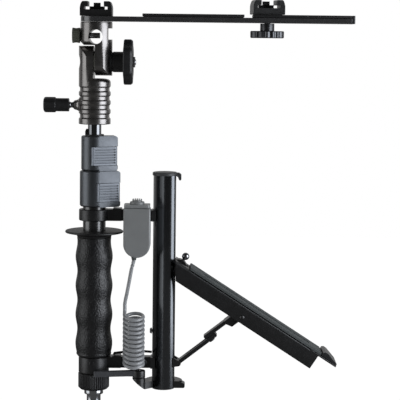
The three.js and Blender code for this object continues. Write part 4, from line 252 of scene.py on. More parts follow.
def add_floor():
    """A wide pale floor well under the object, which is held and doesn't stand. The camera sees it
    near white and gloss sees it dim."""
    half = FLOOR_SIZE / 2
    mesh = bpy.data.meshes.new("floor")
    corners = [(-half, -half), (half, -half), (half, half), (-half, half)]
    mesh.from_pydata([(x, y, FLOOR_Z) for x, y in corners], [], [(0, 1, 2, 3)])
    material = bpy.data.materials.new("pale_floor")
    material.use_nodes = True
    tree = material.node_tree
    tree.nodes.clear()
    ray = shader_node(tree, "LightPath").outputs
    glow = shader_node(tree, "Emission", {"Strength": FLOOR_GLOW})
    paint = shader_node(tree, "BsdfDiffuse", {"Color": FLOOR_COLOUR})
    factors = {0: ray["Is Camera Ray"], 1: FLOOR_GLOW_SHARE}
    share = shader_node(tree, "Math", factors, operation="MULTIPLY")
    parts = {0: share.outputs[0], 1: paint.outputs[0], 2: glow.outputs[0]}
    mix = shader_node(tree, "MixShader", parts)
    dim = shader_node(tree, "Emission", {"Strength": FLOOR_IN_GLOSS})
    parts = {0: ray["Is Glossy Ray"], 1: mix.outputs[0], 2: dim.outputs[0]}
    shader_node(tree, "OutputMaterial", {0: shader_node(tree, "MixShader", parts).outputs[0]})
    mesh.materials.append(material)
    placed("floor", mesh)


add_camera()
for name, lamp in LAMPS.items():
    add_lamp(name, *lamp)
add_world()
add_floor()
bpy.context.scene.view_settings.view_transform = "Standard"


# ---------------- finishes


def linear(red, green, blue):
    """A colour written from 0 to 255, as light: the sRGB curve undone."""
    share = np.array([red, green, blue]) / 255
    low = share / 12.92
    high = ((share + 0.055) / 1.055) ** 2.4
    return [*np.where(share <= 0.04045, low, high).tolist(), 1.0]


FINISHES = {}


def slant_and_painted_shade(tree, place, tint, slant):
    """The side post's slanted gloss: a relief that rises evenly with X, whose normal is given back,
    and a specular tint with painted shade: dulled on the post's left side, full from the light band
    on."""
    x = shader_node(tree, "SeparateXYZ", {0: place}).outputs["X"]
    rise = shader_node(tree, "Math", {0: x, 1: slant}, operation="MULTIPLY")
    drift = shader_node(tree, "Bump", {"Strength": 1, "Distance": 1, "Height": rise.outputs[0]})
    # painted shade: the gloss tint is dulled left of the light band, standing in for the left
    # lamp's reflection falling in shade
    painted_shade = spread(tree, x, BAND_START, BAND_END, POST_PAINTED_SHADE_LEVEL, 1)
    shaded_tint = shader_node(tree, "VectorMath", {0: tint, "Scale": painted_shade}, operation="SCALE")
    tree.links.new(shaded_tint.outputs[0], tree.nodes["Principled BSDF"].inputs["Specular Tint"])
    return drift.outputs["Normal"]


def finish(
    name, dark, pale, smoothest, roughest, metallic=0.0, grain=1800, depth=0.02, kind="grain",
    ior=1.5, tint=(1, 1, 1), slant=0.0,
):
    """A surface whose colour drifts between dark and pale in soft patches, whose roughness drifts
    too, and whose relief is a fine grain, round pebbles, or rings turned about Z."""
    material = bpy.data.materials.new(name)
    material.use_nodes = True
    tree = material.node_tree
    shader = tree.nodes["Principled BSDF"].inputs
    shader["Metallic"].default_value = metallic
    shader["IOR"].default_value = ior
    shader["Specular Tint"].default_value = (*tint, 1)
    place = shader_node(tree, "TexCoord").outputs["Object"]

    patches = shader_node(tree, "TexNoise", {"Scale": PATCH_SCALE, "Detail": 4, "Vector": place})
    colour = shader_node(tree, "ValToRGB", {"Fac": patches.outputs["Fac"]})
    ends = zip(colour.color_ramp.elements, (NOISE_LOW, NOISE_HIGH), (dark, pale))
    for end, position, paint in ends:
        end.position = position
        end.color = linear(*paint)
    tree.links.new(colour.outputs["Color"], shader["Base Color"])

    wear = shader_node(tree, "TexNoise", {"Scale": WEAR_SCALE, "Detail": 3, "Vector": place})
    rough = spread(tree, wear.outputs["Fac"], NOISE_LOW, NOISE_HIGH, smoothest, roughest)
    tree.links.new(rough, shader["Roughness"])

    surface = {"Scale": grain, "Vector": place}
    if kind == "pebble":
        height = shader_node(tree, "TexVoronoi", surface, feature="SMOOTH_F1").outputs["Distance"]
    elif kind == "turned":
        surface |= {"Distortion": 1.5, "Detail": 3}
        height = shader_node(tree, "TexWave", surface, bands_direction="Z").outputs["Fac"]
    else:
        height = shader_node(tree, "TexNoise", surface | {"Detail": 3}).outputs["Fac"]
    relief = {"Strength": 1, "Distance": depth * MM, "Height": height}
    bump = shader_node(tree, "Bump", relief, invert=kind == "pebble")
    tree.links.new(bump.outputs["Normal"], shader["Normal"])
    if slant:
        tree.links.new(slant_and_painted_shade(tree, place, tint, slant), bump.inputs["Normal"])
    FINISHES[name] = material


finish("black_anodised", (9, 9, 10), (12, 12, 13), 0.24, 0.28, ior=2.3, depth=0.001)
# the side post's finish: its slant also paints shade on the left of its gloss
finish(
    "post_anodised", (9, 9, 10), (12, 12, 13), 0.2, 0.24,
    ior=2.3, depth=0.001, tint=(0.95, 1, 1.06), slant=0.4,
)
finish("spigot_chrome", (186, 188, 191), (196, 198, 201), 0.08, 0.12, metallic=1, depth=0.002)
finish("pale_zinc", (206, 204, 194), (216, 214, 205), 0.45, 0.55, depth=0.004)
finish("black_paint", (15, 15, 16), (22, 22, 23), 0.34, 0.42, ior=1.75, depth=0.01)
finish("gunmetal", (146, 143, 141), (156, 153, 151), 0.26, 0.31, metallic=1, depth=0.003)
finish("black_plastic", (24, 26, 27), (31, 33, 34), 0.34, 0.42, ior=1.8, depth=0.01)
finish("soft_black", (17, 17, 18), (24, 24, 25), 0.45, 0.55, ior=1.6, depth=0.02)
finish(
    "grip_rubber", (13, 13, 15), (18, 18, 20), 0.36, 0.44,
    ior=1.7, grain=850, depth=0.4, kind="pebble",
)
finish("bright_chrome", (168, 169, 172), (176, 177, 180), 0.06, 0.1, metallic=1, depth=0.002)
finish(
    "steel", (168, 169, 172), (184, 185, 188), 0.2, 0.28,
    metallic=1, grain=900, depth=0.006, kind="turned",
)
finish("grey_plastic", (126, 128, 128), (134, 136, 136), 0.36, 0.44, depth=0.01, ior=1.8)
finish("black_knurl", (14, 14, 16), (19, 19, 21), 0.38, 0.44, ior=1.55, depth=0.002)
finish("lock_plastic", (14, 16, 18), (20, 22, 24), 0.38, 0.44, ior=2.4, depth=0.008, tint=COOL)
# painted sheen: the levers' paler blue-grey stands in for the soft box's reflection on their faces;
# otherwise the same plastic as the lock bodies
finish(
    "lock_lever_painted_sheen", (80, 84, 91), (88, 92, 99), 0.42, 0.48, ior=2.5, depth=0.008, tint=COOL
)
finish("lever_paint", (66, 67, 70), (74, 75, 78), 0.4, 0.46, depth=0.008)
finish("tube_chrome", (136, 138, 141), (142, 144, 147), 0.06, 0.1, metallic=1, depth=0.002)
finish("cap_plastic", (60, 61, 62), (68, 69, 70), 0.4, 0.48, depth=0.008)
finish("bar_paint", (40, 40, 41), (48, 48, 49), 0.24, 0.3, ior=2.3, depth=0.006)
finish("dark_gunmetal", (98, 99, 101), (106, 107, 109), 0.3, 0.36, metallic=1, depth=0.003)
finish("olive_rubber", (74, 76, 66), (86, 88, 77), 0.5, 0.6, depth=0.03, grain=900)
finish("grey_rubber", (72, 77, 77), (80, 84, 84), 0.6, 0.7, depth=0.04)
finish("cord_grey", (146, 148, 150), (156, 158, 160), 0.28, 0.34, depth=0.004, ior=1.9)


# ---------------- shapes


def filleted(corners, radii=0.0, closed=True, steps=6):
    """A line through 2-D corners, each rounded by the arc that touches both its sides: the arc
    starts radius / tan(half the corner's angle) before the corner and ends as far after it."""
    corners = np.asarray(corners, float)
    radii = np.broadcast_to(np.asarray(radii, float), len(corners)).copy()
    if not closed:
        radii[[0, -1]] = 0
    before = np.roll(corners, 1, axis=0) - corners
    after = np.roll(corners, -1, axis=0) - corners
    before_length = np.linalg.norm(before, axis=1)
    after_length = np.linalg.norm(after, axis=1)
    u = before / before_length[:, None]
    v = after / after_length[:, None]
    half = np.arccos(np.clip((u * v).sum(1), -1, 1)) / 2
    straight = half > math.pi / 2 - NEARLY_STRAIGHT
    radii[straight] = 0
    half = np.clip(half, SHARPEST_HALF, math.pi / 2 - NEARLY_STRAIGHT)
    longest = MOST_OF_SIDE * np.minimum(before_length, after_length)
    reach = np.minimum(radii / np.tan(half), longest)
    radius = reach * np.tan(half)
    middle = u + v
    middle[straight] = 1
    middle = middle / np.linalg.norm(middle, axis=1)[:, None]
    centre = corners + middle * (radius / np.sin(half))[:, None]
    spoke = corners + u * reach[:, None] - centre
    side = np.sign(v[:, 0] * u[:, 1] - v[:, 1] * u[:, 0])
    angle = (side * (math.pi - 2 * half))[:, None] * np.linspace(0, 1, steps)
    x = spoke[:, :1] * np.cos(angle) - spoke[:, 1:] * np.sin(angle) + centre[:, :1]
    y = spoke[:, :1] * np.sin(angle) + spoke[:, 1:] * np.cos(angle) + centre[:, 1:]
    line = np.stack([x, y], axis=-1).reshape(-1, 2)
    step = np.linalg.norm(line - np.roll(line, 1, axis=0), axis=1)
    step[0] = 1
    return line[step > LEAST_STEP]


def circle(radius, sides=SIDES, centre=(0, 0)):
    """Points once round a circle."""
    angle = np.arange(sides) * 2 * math.pi / sides
    x, y = centre
    return np.stack([x + radius * np.cos(angle), y + radius * np.sin(angle)], axis=-1)


def turned(profile, sides=SIDES):
    """A surface turned about Z: ring i has the i-th radius and height of the profile."""
    radius, height = np.asarray(profile, float).T
    around = circle(1, sides)
    flat = radius[:, None, None] * around
    level = np.broadcast_to(height[:, None, None], flat.shape[:2] + (1,))
    return np.concatenate([flat, level], axis=-1)


def lathe(corners, radii=0.0, sides=SIDES):
    """A surface turned about Z from an open profile whose corners are rounded."""
    return turned(filleted(corners, radii, closed=False), sides)


def disc(radius, foot, top, low_round, high_round, sides=SIDES):
    """A round block on Z with rounded rims."""
    corners = [(0, foot), (radius, foot), (radius, top), (0, top)]
    return lathe(corners, [0, low_round, high_round, 0], sides)


def arc(width, height, centre, start, end, count):
    """An oval arc: the centre plus width * cos and height * sin of the angle from start to end."""
    angle = np.linspace(start, end, count)
    x, y = centre
    return np.stack([x + width * np.cos(angle), y + height * np.sin(angle)], axis=-1)


def lobed(corners, radii, fade, depth, lobes, sides, sharp=1.0):
    """A surface turned about Z whose radius dips by depth between lobes: the dip is
    depth * ((1 - cos(lobes * angle)) / 2) ** sharp, and it fades in as the profile's own radius
    goes from the first to the second of the fade's radii."""
    radius, height = filleted(corners, radii, closed=False).T
    share = np.clip((radius - fade[0]) / (fade[1] - fade[0]), 0, 1)
    angle = np.arange(sides) * 2 * math.pi / sides
    dip = depth * ((1 - np.cos(lobes * angle)) / 2) ** sharp
    reach = radius[:, None] - share[:, None] * dip
    level = np.broadcast_to(height[:, None], reach.shape)
    return np.stack([reach * np.cos(angle), reach * np.sin(angle), level], axis=-1)


PLANES = {"xy": [0, 1, 2], "xz": [0, 2, 1], "yz": [2, 0, 1]}


def prism(outline, low, high, plane="xy"):
    """A flat outline carried straight across its plane from low to high."""
    outline = np.asarray(outline, float)
    ends = [np.column_stack([outline, np.full(len(outline), level)]) for level in (low, high)]
    return np.array(ends, float)[..., PLANES[plane]]


def box(low, high):
    """A rectangular block between two corners."""
    (x0, y0, z0), (x1, y1, z1) = low, high
    return prism([(x0, y0), (x1, y0), (x1, y1), (x0, y1)], z0, z1)


def moved(grid, at=(0, 0, 0), turn=None):
    """The points turned by a 3 x 3 matrix and then shifted."""
    points = np.asarray(grid, float)
    if turn is not None:
        points = points @ np.array(turn).T
    return points + np.asarray(at, float)


TO_X = Matrix.Rotation(math.pi / 2, 3, "Y")
TO_FRONT = Matrix.Rotation(math.pi / 2, 3, "X")


def skinned(name, grid, caps=True):
    """A mesh over a grid of points: each face joins two neighbours of a row to the same two of the
    next, and columns close on themselves. Caps close the end rows. Doubled points are merged, and
    the faces are turned outward."""
    rows, columns = grid.shape[:2]
    index = np.arange(rows * columns).reshape(rows, columns)
    below, above = index[:-1], index[1:]
    quads = np.stack([below, np.roll(below, -1, 1), np.roll(above, -1, 1), above], axis=-1)
    faces = quads.reshape(-1, 4).tolist()
    if caps:
        faces += [index[0][::-1].tolist(), index[-1].tolist()]
    mesh = bpy.data.meshes.new(name)
    mesh.from_pydata((grid.reshape(-1, 3) * MM).tolist(), [], faces)
    work = bmesh.new()
    work.from_mesh(mesh)
    bmesh.ops.remove_doubles(work, verts=work.verts, dist=MERGE)
    bmesh.ops.recalc_face_normals(work, faces=work.faces)
    work.to_mesh(mesh)
    work.free()
    return placed(name, mesh)


def solid(name, grid, at=(0, 0, 0), turn=None):
    """The closed piece of a grid of points, turned and shifted first."""
    return skinned(name, moved(grid, at, turn))


def strip(start, end, half, radii, steps=6):
    """The outline of a flat strip along X, as wide to each side, with rounded corners."""
    return filleted([(start, -half), (end, -half), (end, half), (start, half)], radii, steps=steps)


def rod_x(radius, low, high, z, sides=32):
    """A round rod along X at a height, for cutting a hole."""
    return moved(prism(circle(radius, sides), low, high), (0, 0, z), TO_X)


def ring_wall(name, outline, sides=SIDES, centre=(0, 0)):
    """A closed outline of radii and heights turned about Z, as a ring with a hole."""
    outline = np.asarray(outline, float)
    grid = turned(np.concatenate([outline, outline[:1]]), sides)
    return skinned(name, moved(grid, (*centre, 0)), caps=False)


def tube(name, outer, inner, foot, top, edge=0.25, sides=SIDES, centre=(0, 0)):
    """A round tube on Z with softly rounded rims."""
    outline = filleted([(inner, foot), (outer, foot), (outer, top), (inner, top)], edge)
    return ring_wall(name, outline, sides, centre)


def applied(base):
    """Base with its modifiers worked out and made its own mesh."""
    bpy.context.view_layer.update()
    depsgraph = bpy.context.evaluated_depsgraph_get()
    mesh = bpy.data.meshes.new_from_object(base.evaluated_get(depsgraph))
    base.modifiers.clear()
    base.data = mesh
    return base


def combined(base, operation, *grids):
    """Base with each closed grid cut away, joined on or kept in common. The grids' own meshes are
    used up."""
    tools = [solid("tool", grid) if isinstance(grid, np.ndarray) else grid for grid in grids]
    for tool in tools:
        modifier = base.modifiers.new(operation, "BOOLEAN")
        modifier.operation = operation
        modifier.solver = "EXACT"
        modifier.object = tool
    applied(base)
    for tool in tools:
        bpy.data.objects.remove(tool)
    return base


def cut(base, *grids):
    """Base with each grid cut away."""
    return combined(base, "DIFFERENCE", *grids)


def joined(base, *grids):
    """Base with each grid joined on."""
    return combined(base, "UNION", *grids)


def kept(base, *grids):
    """What base has in common with each grid."""
    return combined(base, "INTERSECT", *grids)


def dress(piece, look, *nodes, edge=0.0, segments=3, angle=SOFT_ANGLE):
    """Gives a finished piece its look, its soft edges and its body, and hides the CAD nodes that it
    stands for."""
    mesh = piece.data
    mesh.materials.clear()
    mesh.materials.append(FINISHES[look])
    mesh.shade_smooth()
    mesh.set_sharp_from_angle(angle=math.radians(angle))
    if edge:
        bevel = piece.modifiers.new("soft_edge", "BEVEL")
        bevel.width = edge * MM
        bevel.segments = segments
        bevel.limit_method = "ANGLE"
        bevel.angle_limit = math.radians(angle)
        bevel.harden_normals = True
        bevel.use_clamp_overlap = True
    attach(piece, NODES[nodes[0]]["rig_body"])
    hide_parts(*nodes)
    return piece


def refined(node, look, edge):
    """A CAD node's own flat-sided shape, with its loose triangles merged, its flat faces made whole
    and its edges softened."""
    name = node + "_dressed"
    mesh = NODES[node].data.copy()
    mesh.name = name
    work = bmesh.new()
    work.from_mesh(mesh)
    bmesh.ops.remove_doubles(work, verts=work.verts, dist=CAD_MERGE)
    bmesh.ops.dissolve_limit(work, angle_limit=math.radians(1), verts=work.verts, edges=work.edges)
    work.to_mesh(mesh)
    work.free()
    return dress(placed(name, mesh), look, node, edge=edge, segments=2)


# ---------------- cord


def smooth_line(points, stations):
    """A line through given points: each stretch is the cubic through its two ends with the
    slope of their neighbours, four terms weighted by powers of the share along the stretch."""
    points = np.asarray(points, float)
    padded = np.concatenate([2 * points[:1] - points[1:2], points, 2 * points[-1:] - points[-2:-1]])
    p0, p1, p2, p3 = padded[:-3], padded[1:-2], padded[2:-1], padded[3:]
    t = (np.arange(stations) / stations)[None, :, None]
    p0, p1, p2, p3 = (p[:, None, :] for p in (p0, p1, p2, p3))
    line = (
        p1
        + (p2 - p0) * t / 2
        + (2 * p0 - 5 * p1 + 4 * p2 - p3) * t**2 / 2
        + (3 * p1 - 3 * p2 + p3 - p0) * t**3 / 2
    )
    return np.concatenate([line.reshape(-1, 3), points[-1:]])


def cord_line():
    """The cord's middle line: the lead, a quarter bend, curls at a steady drop per turn that lean
    so that a point's height grows with its distance behind the curls' axis, and a straight run
    into the socket."""
    lead = smooth_line(np.array(LEAD_ROUTE) / MM, LEAD_STATIONS)
    centre_x, centre_y = CURL_CENTRE
    start_x = centre_x - CURL_RADIUS
    top = CURL_FOOT + CURL_TURNS * CURL_PITCH
    bend = np.linspace(0, math.pi / 2, BEND_STATIONS)
    corner = np.stack(
        [
            np.full(len(bend), start_x),
            centre_y + CURL_BEND - CURL_BEND * (1 - np.cos(bend)),
            top + CURL_BEND - CURL_BEND * np.sin(bend),
        ],
        axis=-1,
    )
    share = np.linspace(0, CURL_TURNS, int(CURL_TURNS * CURL_STATIONS) + 1)[1:]
    angle = math.pi + share * 2 * math.pi
    forward = CURL_RADIUS * np.sin(angle)
    lean = CURL_LEAN * np.minimum(1, (CURL_TURNS - share) / CURL_LEVEL_SHARE)
    curls = np.stack(
        [
            centre_x + CURL_RADIUS * np.cos(angle),
            centre_y + forward,
            top - share * CURL_PITCH + lean * forward,
        ],
        axis=-1,
    )
    run = curls[-1] + np.outer(np.linspace(0, 1, 5)[1:], (0, SOCKET_RUN, 0))
    return np.concatenate([lead, corner, curls, run])


def swept(line, radius, sides):
    """A round tube along a line: each ring lies across the line's own direction, about two axes,
    one level and one at right angles to it and to the line."""
    along = np.gradient(line, axis=0)
    along /= np.linalg.norm(along, axis=1)[:, None]
    side = np.cross(along, NEARLY_UP / np.linalg.norm(NEARLY_UP))
    steep = np.linalg.norm(side, axis=1) < STEEP
    side[steep] = np.array([1.0, 0.0, 0.0])
    side -= (side * along).sum(1)[:, None] * along
    side /= np.linalg.norm(side, axis=1)[:, None]
    same_way = np.concatenate([[1.0], (side[1:] * side[:-1]).sum(1)]) >= 0
    side = side * np.cumprod(np.where(same_way, 1.0, -1.0))[:, None]
    across = np.cross(along, side)
    ring = circle(radius, sides)
    return line[:, None] + ring[:, :1] * side[:, None] + ring[:, 1:] * across[:, None]


def add_cord():
    """The remote's cord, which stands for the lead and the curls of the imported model."""
    line = cord_line()
    cord = solid("remote_cord", swept(line, CORD_RADIUS, CORD_SIDES))
    dress(cord, "cord_grey", "cord_lead", "cord_coil", angle=60)


add_cord()


# ---------------- pole foot and grip


def add_spigot():
    """A stepped round foot: a wide step, a neck, a collar and the plug in the base tube."""
    corners = [
        (0, 0), (7.95, 0), (7.95, 14), (6.8, 15.7), (6.8, 23.5),
        (9.2, 24.2), (9.2, 28.8), (6.7, 28.8), (6.7, 45),
    ]
    foot = lathe(corners, [0, 0.9, 0.3, 0.6, 0.2, 0.4, 0.4, 0.1, 0])
    dress(solid("spigot_turned", foot), "spigot_chrome", "spigot")


def add_base_nut():
    """A ring nut with a chamfered foot, knurled by many shallow lobes."""
    nut = lobed(
        [(7, 29.1), (13.1, 29.1), (15.15, 31.1), (15.15, 44.6), (14.4, 45.3), (7, 45.3)],
        [0, 0.5, 0.6, 0.4, 0.3, 0],
        fade=(13.6, 15), depth=0.55, lobes=44, sides=352,
    )
    dress(solid("base_nut_knurled", nut), "black_knurl", "base_nut")


def add_grip():
    """The grip's radius is the mean radius plus a swell * cos of the height over the finger pitch.
    The guard's underside flares from neck to rim as 1 - cos against sin of a quarter turn."""
    foot, top = (corner[2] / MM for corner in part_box("grip"))
    mean, swell, pitch, first_swell = 17.1, 0.9, 28.5, 12.4
    rise = np.linspace(3.4, top - foot - 1.2, 72)
    radius = mean + swell * np.cos((rise - first_swell) / pitch * 2 * math.pi)
    middle = np.stack([radius, foot + rise], axis=-1)
    lower = [(11, foot), (15.6, foot), (17.2, foot + 2.2), middle[0]]
    lower = filleted(lower, [0, 0.6, 1.2, 0], closed=False)
    upper = filleted([middle[-1], (16.6, top), (11, top)], [0, 0.5, 0], closed=False)
    profile = np.concatenate([lower[:-1], middle, upper[1:]])
    dress(solid("grip_rubber_sleeve", turned(profile)), "grip_rubber", "grip", angle=50)

    rim, neck = 28.2, 16.5
    foot = top + GAP
    head = foot + 6.1
    sweep = np.linspace(0, math.pi / 2, 14)
    flare = np.stack(
        [neck + (rim - 2 - neck) * (1 - np.cos(sweep)), foot + 4.1 * np.sin(sweep)],
        axis=-1,
    )
    edge = [flare[-1], (rim, head - 2), (rim - 0.3, head), (11, head)]
    edge = filleted(edge, [0, 0.8, 0.9, 0], closed=False)
    profile = np.concatenate([[(11, foot)], flare, edge[1:]])
    dress(solid("hand_guard_disc", turned(profile)), "soft_black", "hand_guard", angle=40)


# ---------------- arms and post

POST_X = 68
POST_RADIUS = 11
ARM_HEIGHT = 10.9


def arm(name, foot, ring_foot):
    """A rounded ring on the pole, a thick root, a web and a saddle against the post."""
    top = foot + ARM_HEIGHT
    ring = disc(14.8, ring_foot, top, 0.9, 0.9)
    root = box((5, -6.5, foot), (26.6, 6.5, top))
    step = box((18.4, -6.5, foot + 3), (26.6, 6.5, top + 1.1))
    web = box((5, -4.5, foot), (63.9, 4.5, top))
    saddle = box((55.5, -8, foot), (63.9, 8, top))
    piece = joined(solid(name, ring), root, step, web, saddle)
    bore = prism(circle(11.3), ring_foot - OVERRUN, top + 2 * OVERRUN)
    seat = prism(circle(POST_RADIUS + GAP, centre=(POST_X, 0)), foot - OVERRUN, top + 2 * OVERRUN)
    return cut(piece, bore, seat)


def add_arms():
    """The two arms, which differ in how far the ring goes down, and the lower ring's screw."""
    dress(arm("lower_arm_cast", 50.7, 45.6), "black_paint", "lower_arm", edge=0.7)
    dress(arm("upper_arm_cast", 195, 195), "black_paint", "upper_arm", edge=0.7)
    refined("ring_screw", "black_paint", 0.1)


def add_tubes():
    """The pole's three tubes, each inside the one below, and the side post."""
    dress(tube("base_tube_drawn", 11, 9.8, 45.6, 232.3), "black_anodised", "base_tube")
    dress(tube("middle_tube_drawn", 9.5, 8.5, 70, 266), "black_anodised", "middle_tube")
    dress(tube("top_tube_polished", 6.5, 5.4, 88, 288), "tube_chrome", "top_tube")
    post = tube("post_tube_drawn", POST_RADIUS, 9.5, 30.3, 240.6, centre=(POST_X, 0))
    dress(post, "post_anodised", "post_tube")


def add_post_cap():
    """A plug under a low domed disc, with a tab that hooks down at the post's right side."""
    foot, top, rim = 239.3, 242.7, 11.9
    plug = lathe(
        [(0, foot - 6), (9, foot - 6), (9, foot), (rim, foot), (rim, top - 0.3), (0, top + 0.4)],
        [0, 0, 0, 0.2, 1.1, 0],
    )
    edge = POST_X + rim
    tab = filleted(
        [
            (edge - 2, top - 0.8), (edge - 2, foot + 0.2), (edge + 0.8, foot - 1.5),
            (edge + 1.9, top - 8), (edge + 4, top - 8), (edge + 4, top - 2.4),
            (edge + 1.8, top - 0.9),
        ],
        [0, 0, 1, 0.8, 0.9, 1.6, 0.8],
    )
    cap = joined(solid("post_cap_moulded", plug, (POST_X, 0, 0)), prism(tab, -3.5, 3.5, "xz"))
    dress(cap, "cap_plastic", "post_cap", edge=0.35)


# ---------------- release lever

HUB = (44.6, -12, 0)


def add_lever():
    """A disc's rear part round the post, with a tab at the right and a horn out to the hub and
    its pin, and the tapered bar and round barrel that turn on the pin."""
    foot, top, hub_top = 31.3, 38.1, 42.7
    hub_x, hub_y, _ = HUB
    heel = prism(circle(18.5, centre=(POST_X, 0)), foot, top)
    front_part = box((POST_X - 22, -30, foot - OVERRUN), (POST_X + 22, -3.1, top + OVERRUN))
    rear = cut(solid("lever_heel_cast", heel), front_part)
    hub = prism(circle(6.2, centre=(hub_x, hub_y)), foot, hub_top)
    horn = [
        (hub_x - 4.3, hub_y + 4.3), (hub_x, hub_y - 6.2), (POST_X - 11, -6.2), (POST_X, 0),
        (POST_X - 13, 13),
    ]
    under_leg = prism([(34, 29), (51, 29), (51, foot), (38.4, 41.9), (34, 41.9)], -40, 40, "xz")
    side_view = [(POST_X, foot), (89.2, foot), (89.2, foot + 4), (83.1, top), (POST_X, top)]
    tab = prism(filleted(side_view, [0, 1.6, 1.8, 2.5, 0]), -5.5, 5.5, "xz")
    piece = joined(rear, hub, prism(horn, foot, top), tab)
    seat = prism(circle(POST_RADIUS + GAP, centre=(POST_X, 0)), foot - OVERRUN, top + OVERRUN)
    piece = cut(piece, seat, under_leg)
    pin = disc(2.1, top, 50.9, 0, 0.7, 32)
    dress(joined(piece, moved(pin, HUB)), "black_paint", "lever_heel", edge=0.5)

    outline = filleted(
        [(0, -4.6), (0, 4.6), (-12.3, 2.7), (-44.1, 2.15), (-44.1, -2.15), (-12.3, -2.7)],
        [0, 0, 6, 1.9, 1.9, 6],
    )
    bar = moved(prism(outline, 44.8, 50.1), turn=about_z(10.5))
    piece = cut(solid("release_lever_bar", bar, HUB), moved(prism(circle(6), 40, 55), HUB))
    dress(piece, "lever_paint", "release_lever", edge=0.6)
    barrel = disc(6.2, 43.1, 50.1, 0.7, 0.7, 64)
    bore = prism(circle(2.4, 32), 41, 52)
    piece = cut(solid("release_lever_barrel", barrel, HUB), moved(bore, HUB))
    dress(piece, "black_paint", "release_lever", edge=0.4)


# ---------------- flip locks

LOCK_TURN = 14
LOCK_FRONT_TURN = math.radians(11)


def about_pole(piece):
    """A lock's piece turned about the pole by the locks' own angle."""
    piece.data.transform(about_z(LOCK_TURN).to_4x4())
    return piece


def front(x, distance):
    """The point at x on the lock's front plane, at a distance from the pole's axis."""
    return x, (x * math.sin(LOCK_FRONT_TURN) - distance) / math.cos(LOCK_FRONT_TURN)


def front_strip(left, right, outer, inner):
    """The corners of a strip along the lock's front plane, between two distances from the axis."""
    return [front(left, outer), front(right, outer), front(right, inner), front(left, inner)]


def add_lock(side, radius, foot, height, reach, left, bore, inner):
    """A round barrel with a square-shouldered block at its right, a window for the lever, and the
    ridged lever whose face follows the block and whose hub turns on the pin."""
    top = foot + height
    window, window_top = foot + 5, foot + 23.4
    pivot_x, pivot_y = reach - 4.6, 7 - radius
    barrel = disc(radius, foot, top, 2, 1.5)
    tangent = radius * math.sin(LOCK_FRONT_TURN)
    block = [front(tangent, radius), front(reach, radius), (reach, 4.5), (0, 4.5)]
    block = prism(filleted(block, [0, 1.4, 2, 0]), foot + 0.01, top - 0.01)
    opening = [
        (left - 0.4, -radius - 2), (reach + 2, -radius - 2), (reach + 2, pivot_y + 7.8),
        (pivot_x - 4.6, pivot_y + 7.8), (pivot_x - 4.6, -radius + 3.4),
        (left - 0.4, -radius + 2.4),
    ]
    body = cut(
        joined(solid(side + "_lock_moulded", barrel), block),
        prism(opening, window, window_top),
        prism(circle(bore), foot - OVERRUN, top - 10.5),
        prism(circle(inner), foot - OVERRUN, top + OVERRUN),
    )
    side_view = filleted([(-20, foot), (reach, foot), (reach, top), (-20, top)], [0, 2.8, 2.8, 0])
    body = kept(body, prism(side_view, -40, 40, "xz"))
    dress(about_pole(body), "lock_plastic", side + "_lock_body", edge=1.3)

    face = radius + 0.5
    right = reach - 0.5
    outline = filleted(
        [
            front(left, face), front(right, face), (right, pivot_y + 4.2),
            (pivot_x - 4.2, pivot_y + 4.2), front(pivot_x - 4.2, face - 2.8),
            front(left, face - 2.8),
        ],
        [0.9, 2.5, 4.1, 4.1, 0.3, 0.5],
    )
    play, ridge_count, ridge_half = 0.4, 6, 0.55
    lever = solid(side + "_lever_moulded", prism(outline, window + play, window_top - play))
    pitch = (window_top - window - 2 * play) / (ridge_count + 1)
    groove = front_strip(left + 3.4, right - 2.2, face + 2, face - 1.4)
    levels = [window + play + pitch * (i + 1) for i in range(ridge_count)]
    grooves = [prism(groove, level - ridge_half, level + ridge_half) for level in levels]
    border = front_strip(left + 2, left + 2.6, face + 2, face - 0.4)
    border = prism(border, window - 1, window_top + 1)
    room = prism(circle(bore + GAP), window - OVERRUN, window_top + OVERRUN)
    lever = cut(lever, *grooves, border, room)
    # the lever's paler finish is painted sheen
    dress(about_pole(lever), "lock_lever_painted_sheen", side + "_lock_lever", edge=0.22, segments=2)
    pin = disc(1.3, foot + 1.3, top - 1, 0, 0, 24)
    pin = solid(side + "_lock_hinge_pin", pin, (pivot_x, pivot_y, 0))
    dress(about_pole(pin), "steel", side + "_lock_pin")


def add_bush_and_stud():
    """The bush where the top tube comes out, its nub at the left, and the stud in the clamp."""
    bush = filleted([(6.8, 273.8), (9, 273.8), (9, 278.2), (6.8, 278.2)], 0.4)
    dress(ring_wall("tube_bush_turned", bush), "soft_black", "tube_bush")
    nub = filleted(
        [(-9, 277.4), (-6.6, 277.4), (-6.6, 283.2), (-8, 283.4), (-9, 281)],
        [0.2, 0.2, 0.5, 0.6, 0.8],
    )
    nub = solid("bush_nub", prism(nub, -2.2, 2.2, "xz"))
    dress(nub, "soft_black", "tube_bush", edge=0.3)
    stud = lathe(
        [(0, 286), (5, 286), (5, 288.3), (7.9, 288.3), (7.9, 316), (0, 316)],
        [0, 0, 0, 0, 0.8, 0],
    )
    dress(solid("head_stud_turned", stud), "steel", "head_stud")


# ---------------- head

CLAMP_FOOT = 288
CLAMP_SCREW_Z = CLAMP_FOOT + 18.1
TILT_Z = 347.6
UMBRELLA_Z = TILT_Z + 24.9
HEAD_RADIUS = 15.3


def yoke_end(reach, up, low, high):
    """A straight-sided tab with an oval end, carried along X."""
    tip, round_end = (15.1, 14) if up else (13.1, 10.1)
    half = 13.9
    oval = arc(half, round_end, (0, tip - round_end), 0, math.pi, 49)
    outline = np.concatenate([oval, [(-half, -reach), (half, -reach)]])
    if not up:
        outline = outline * (1, -1)
    return moved(prism(outline, low, high, "yz"), (0, 0, TILT_Z))


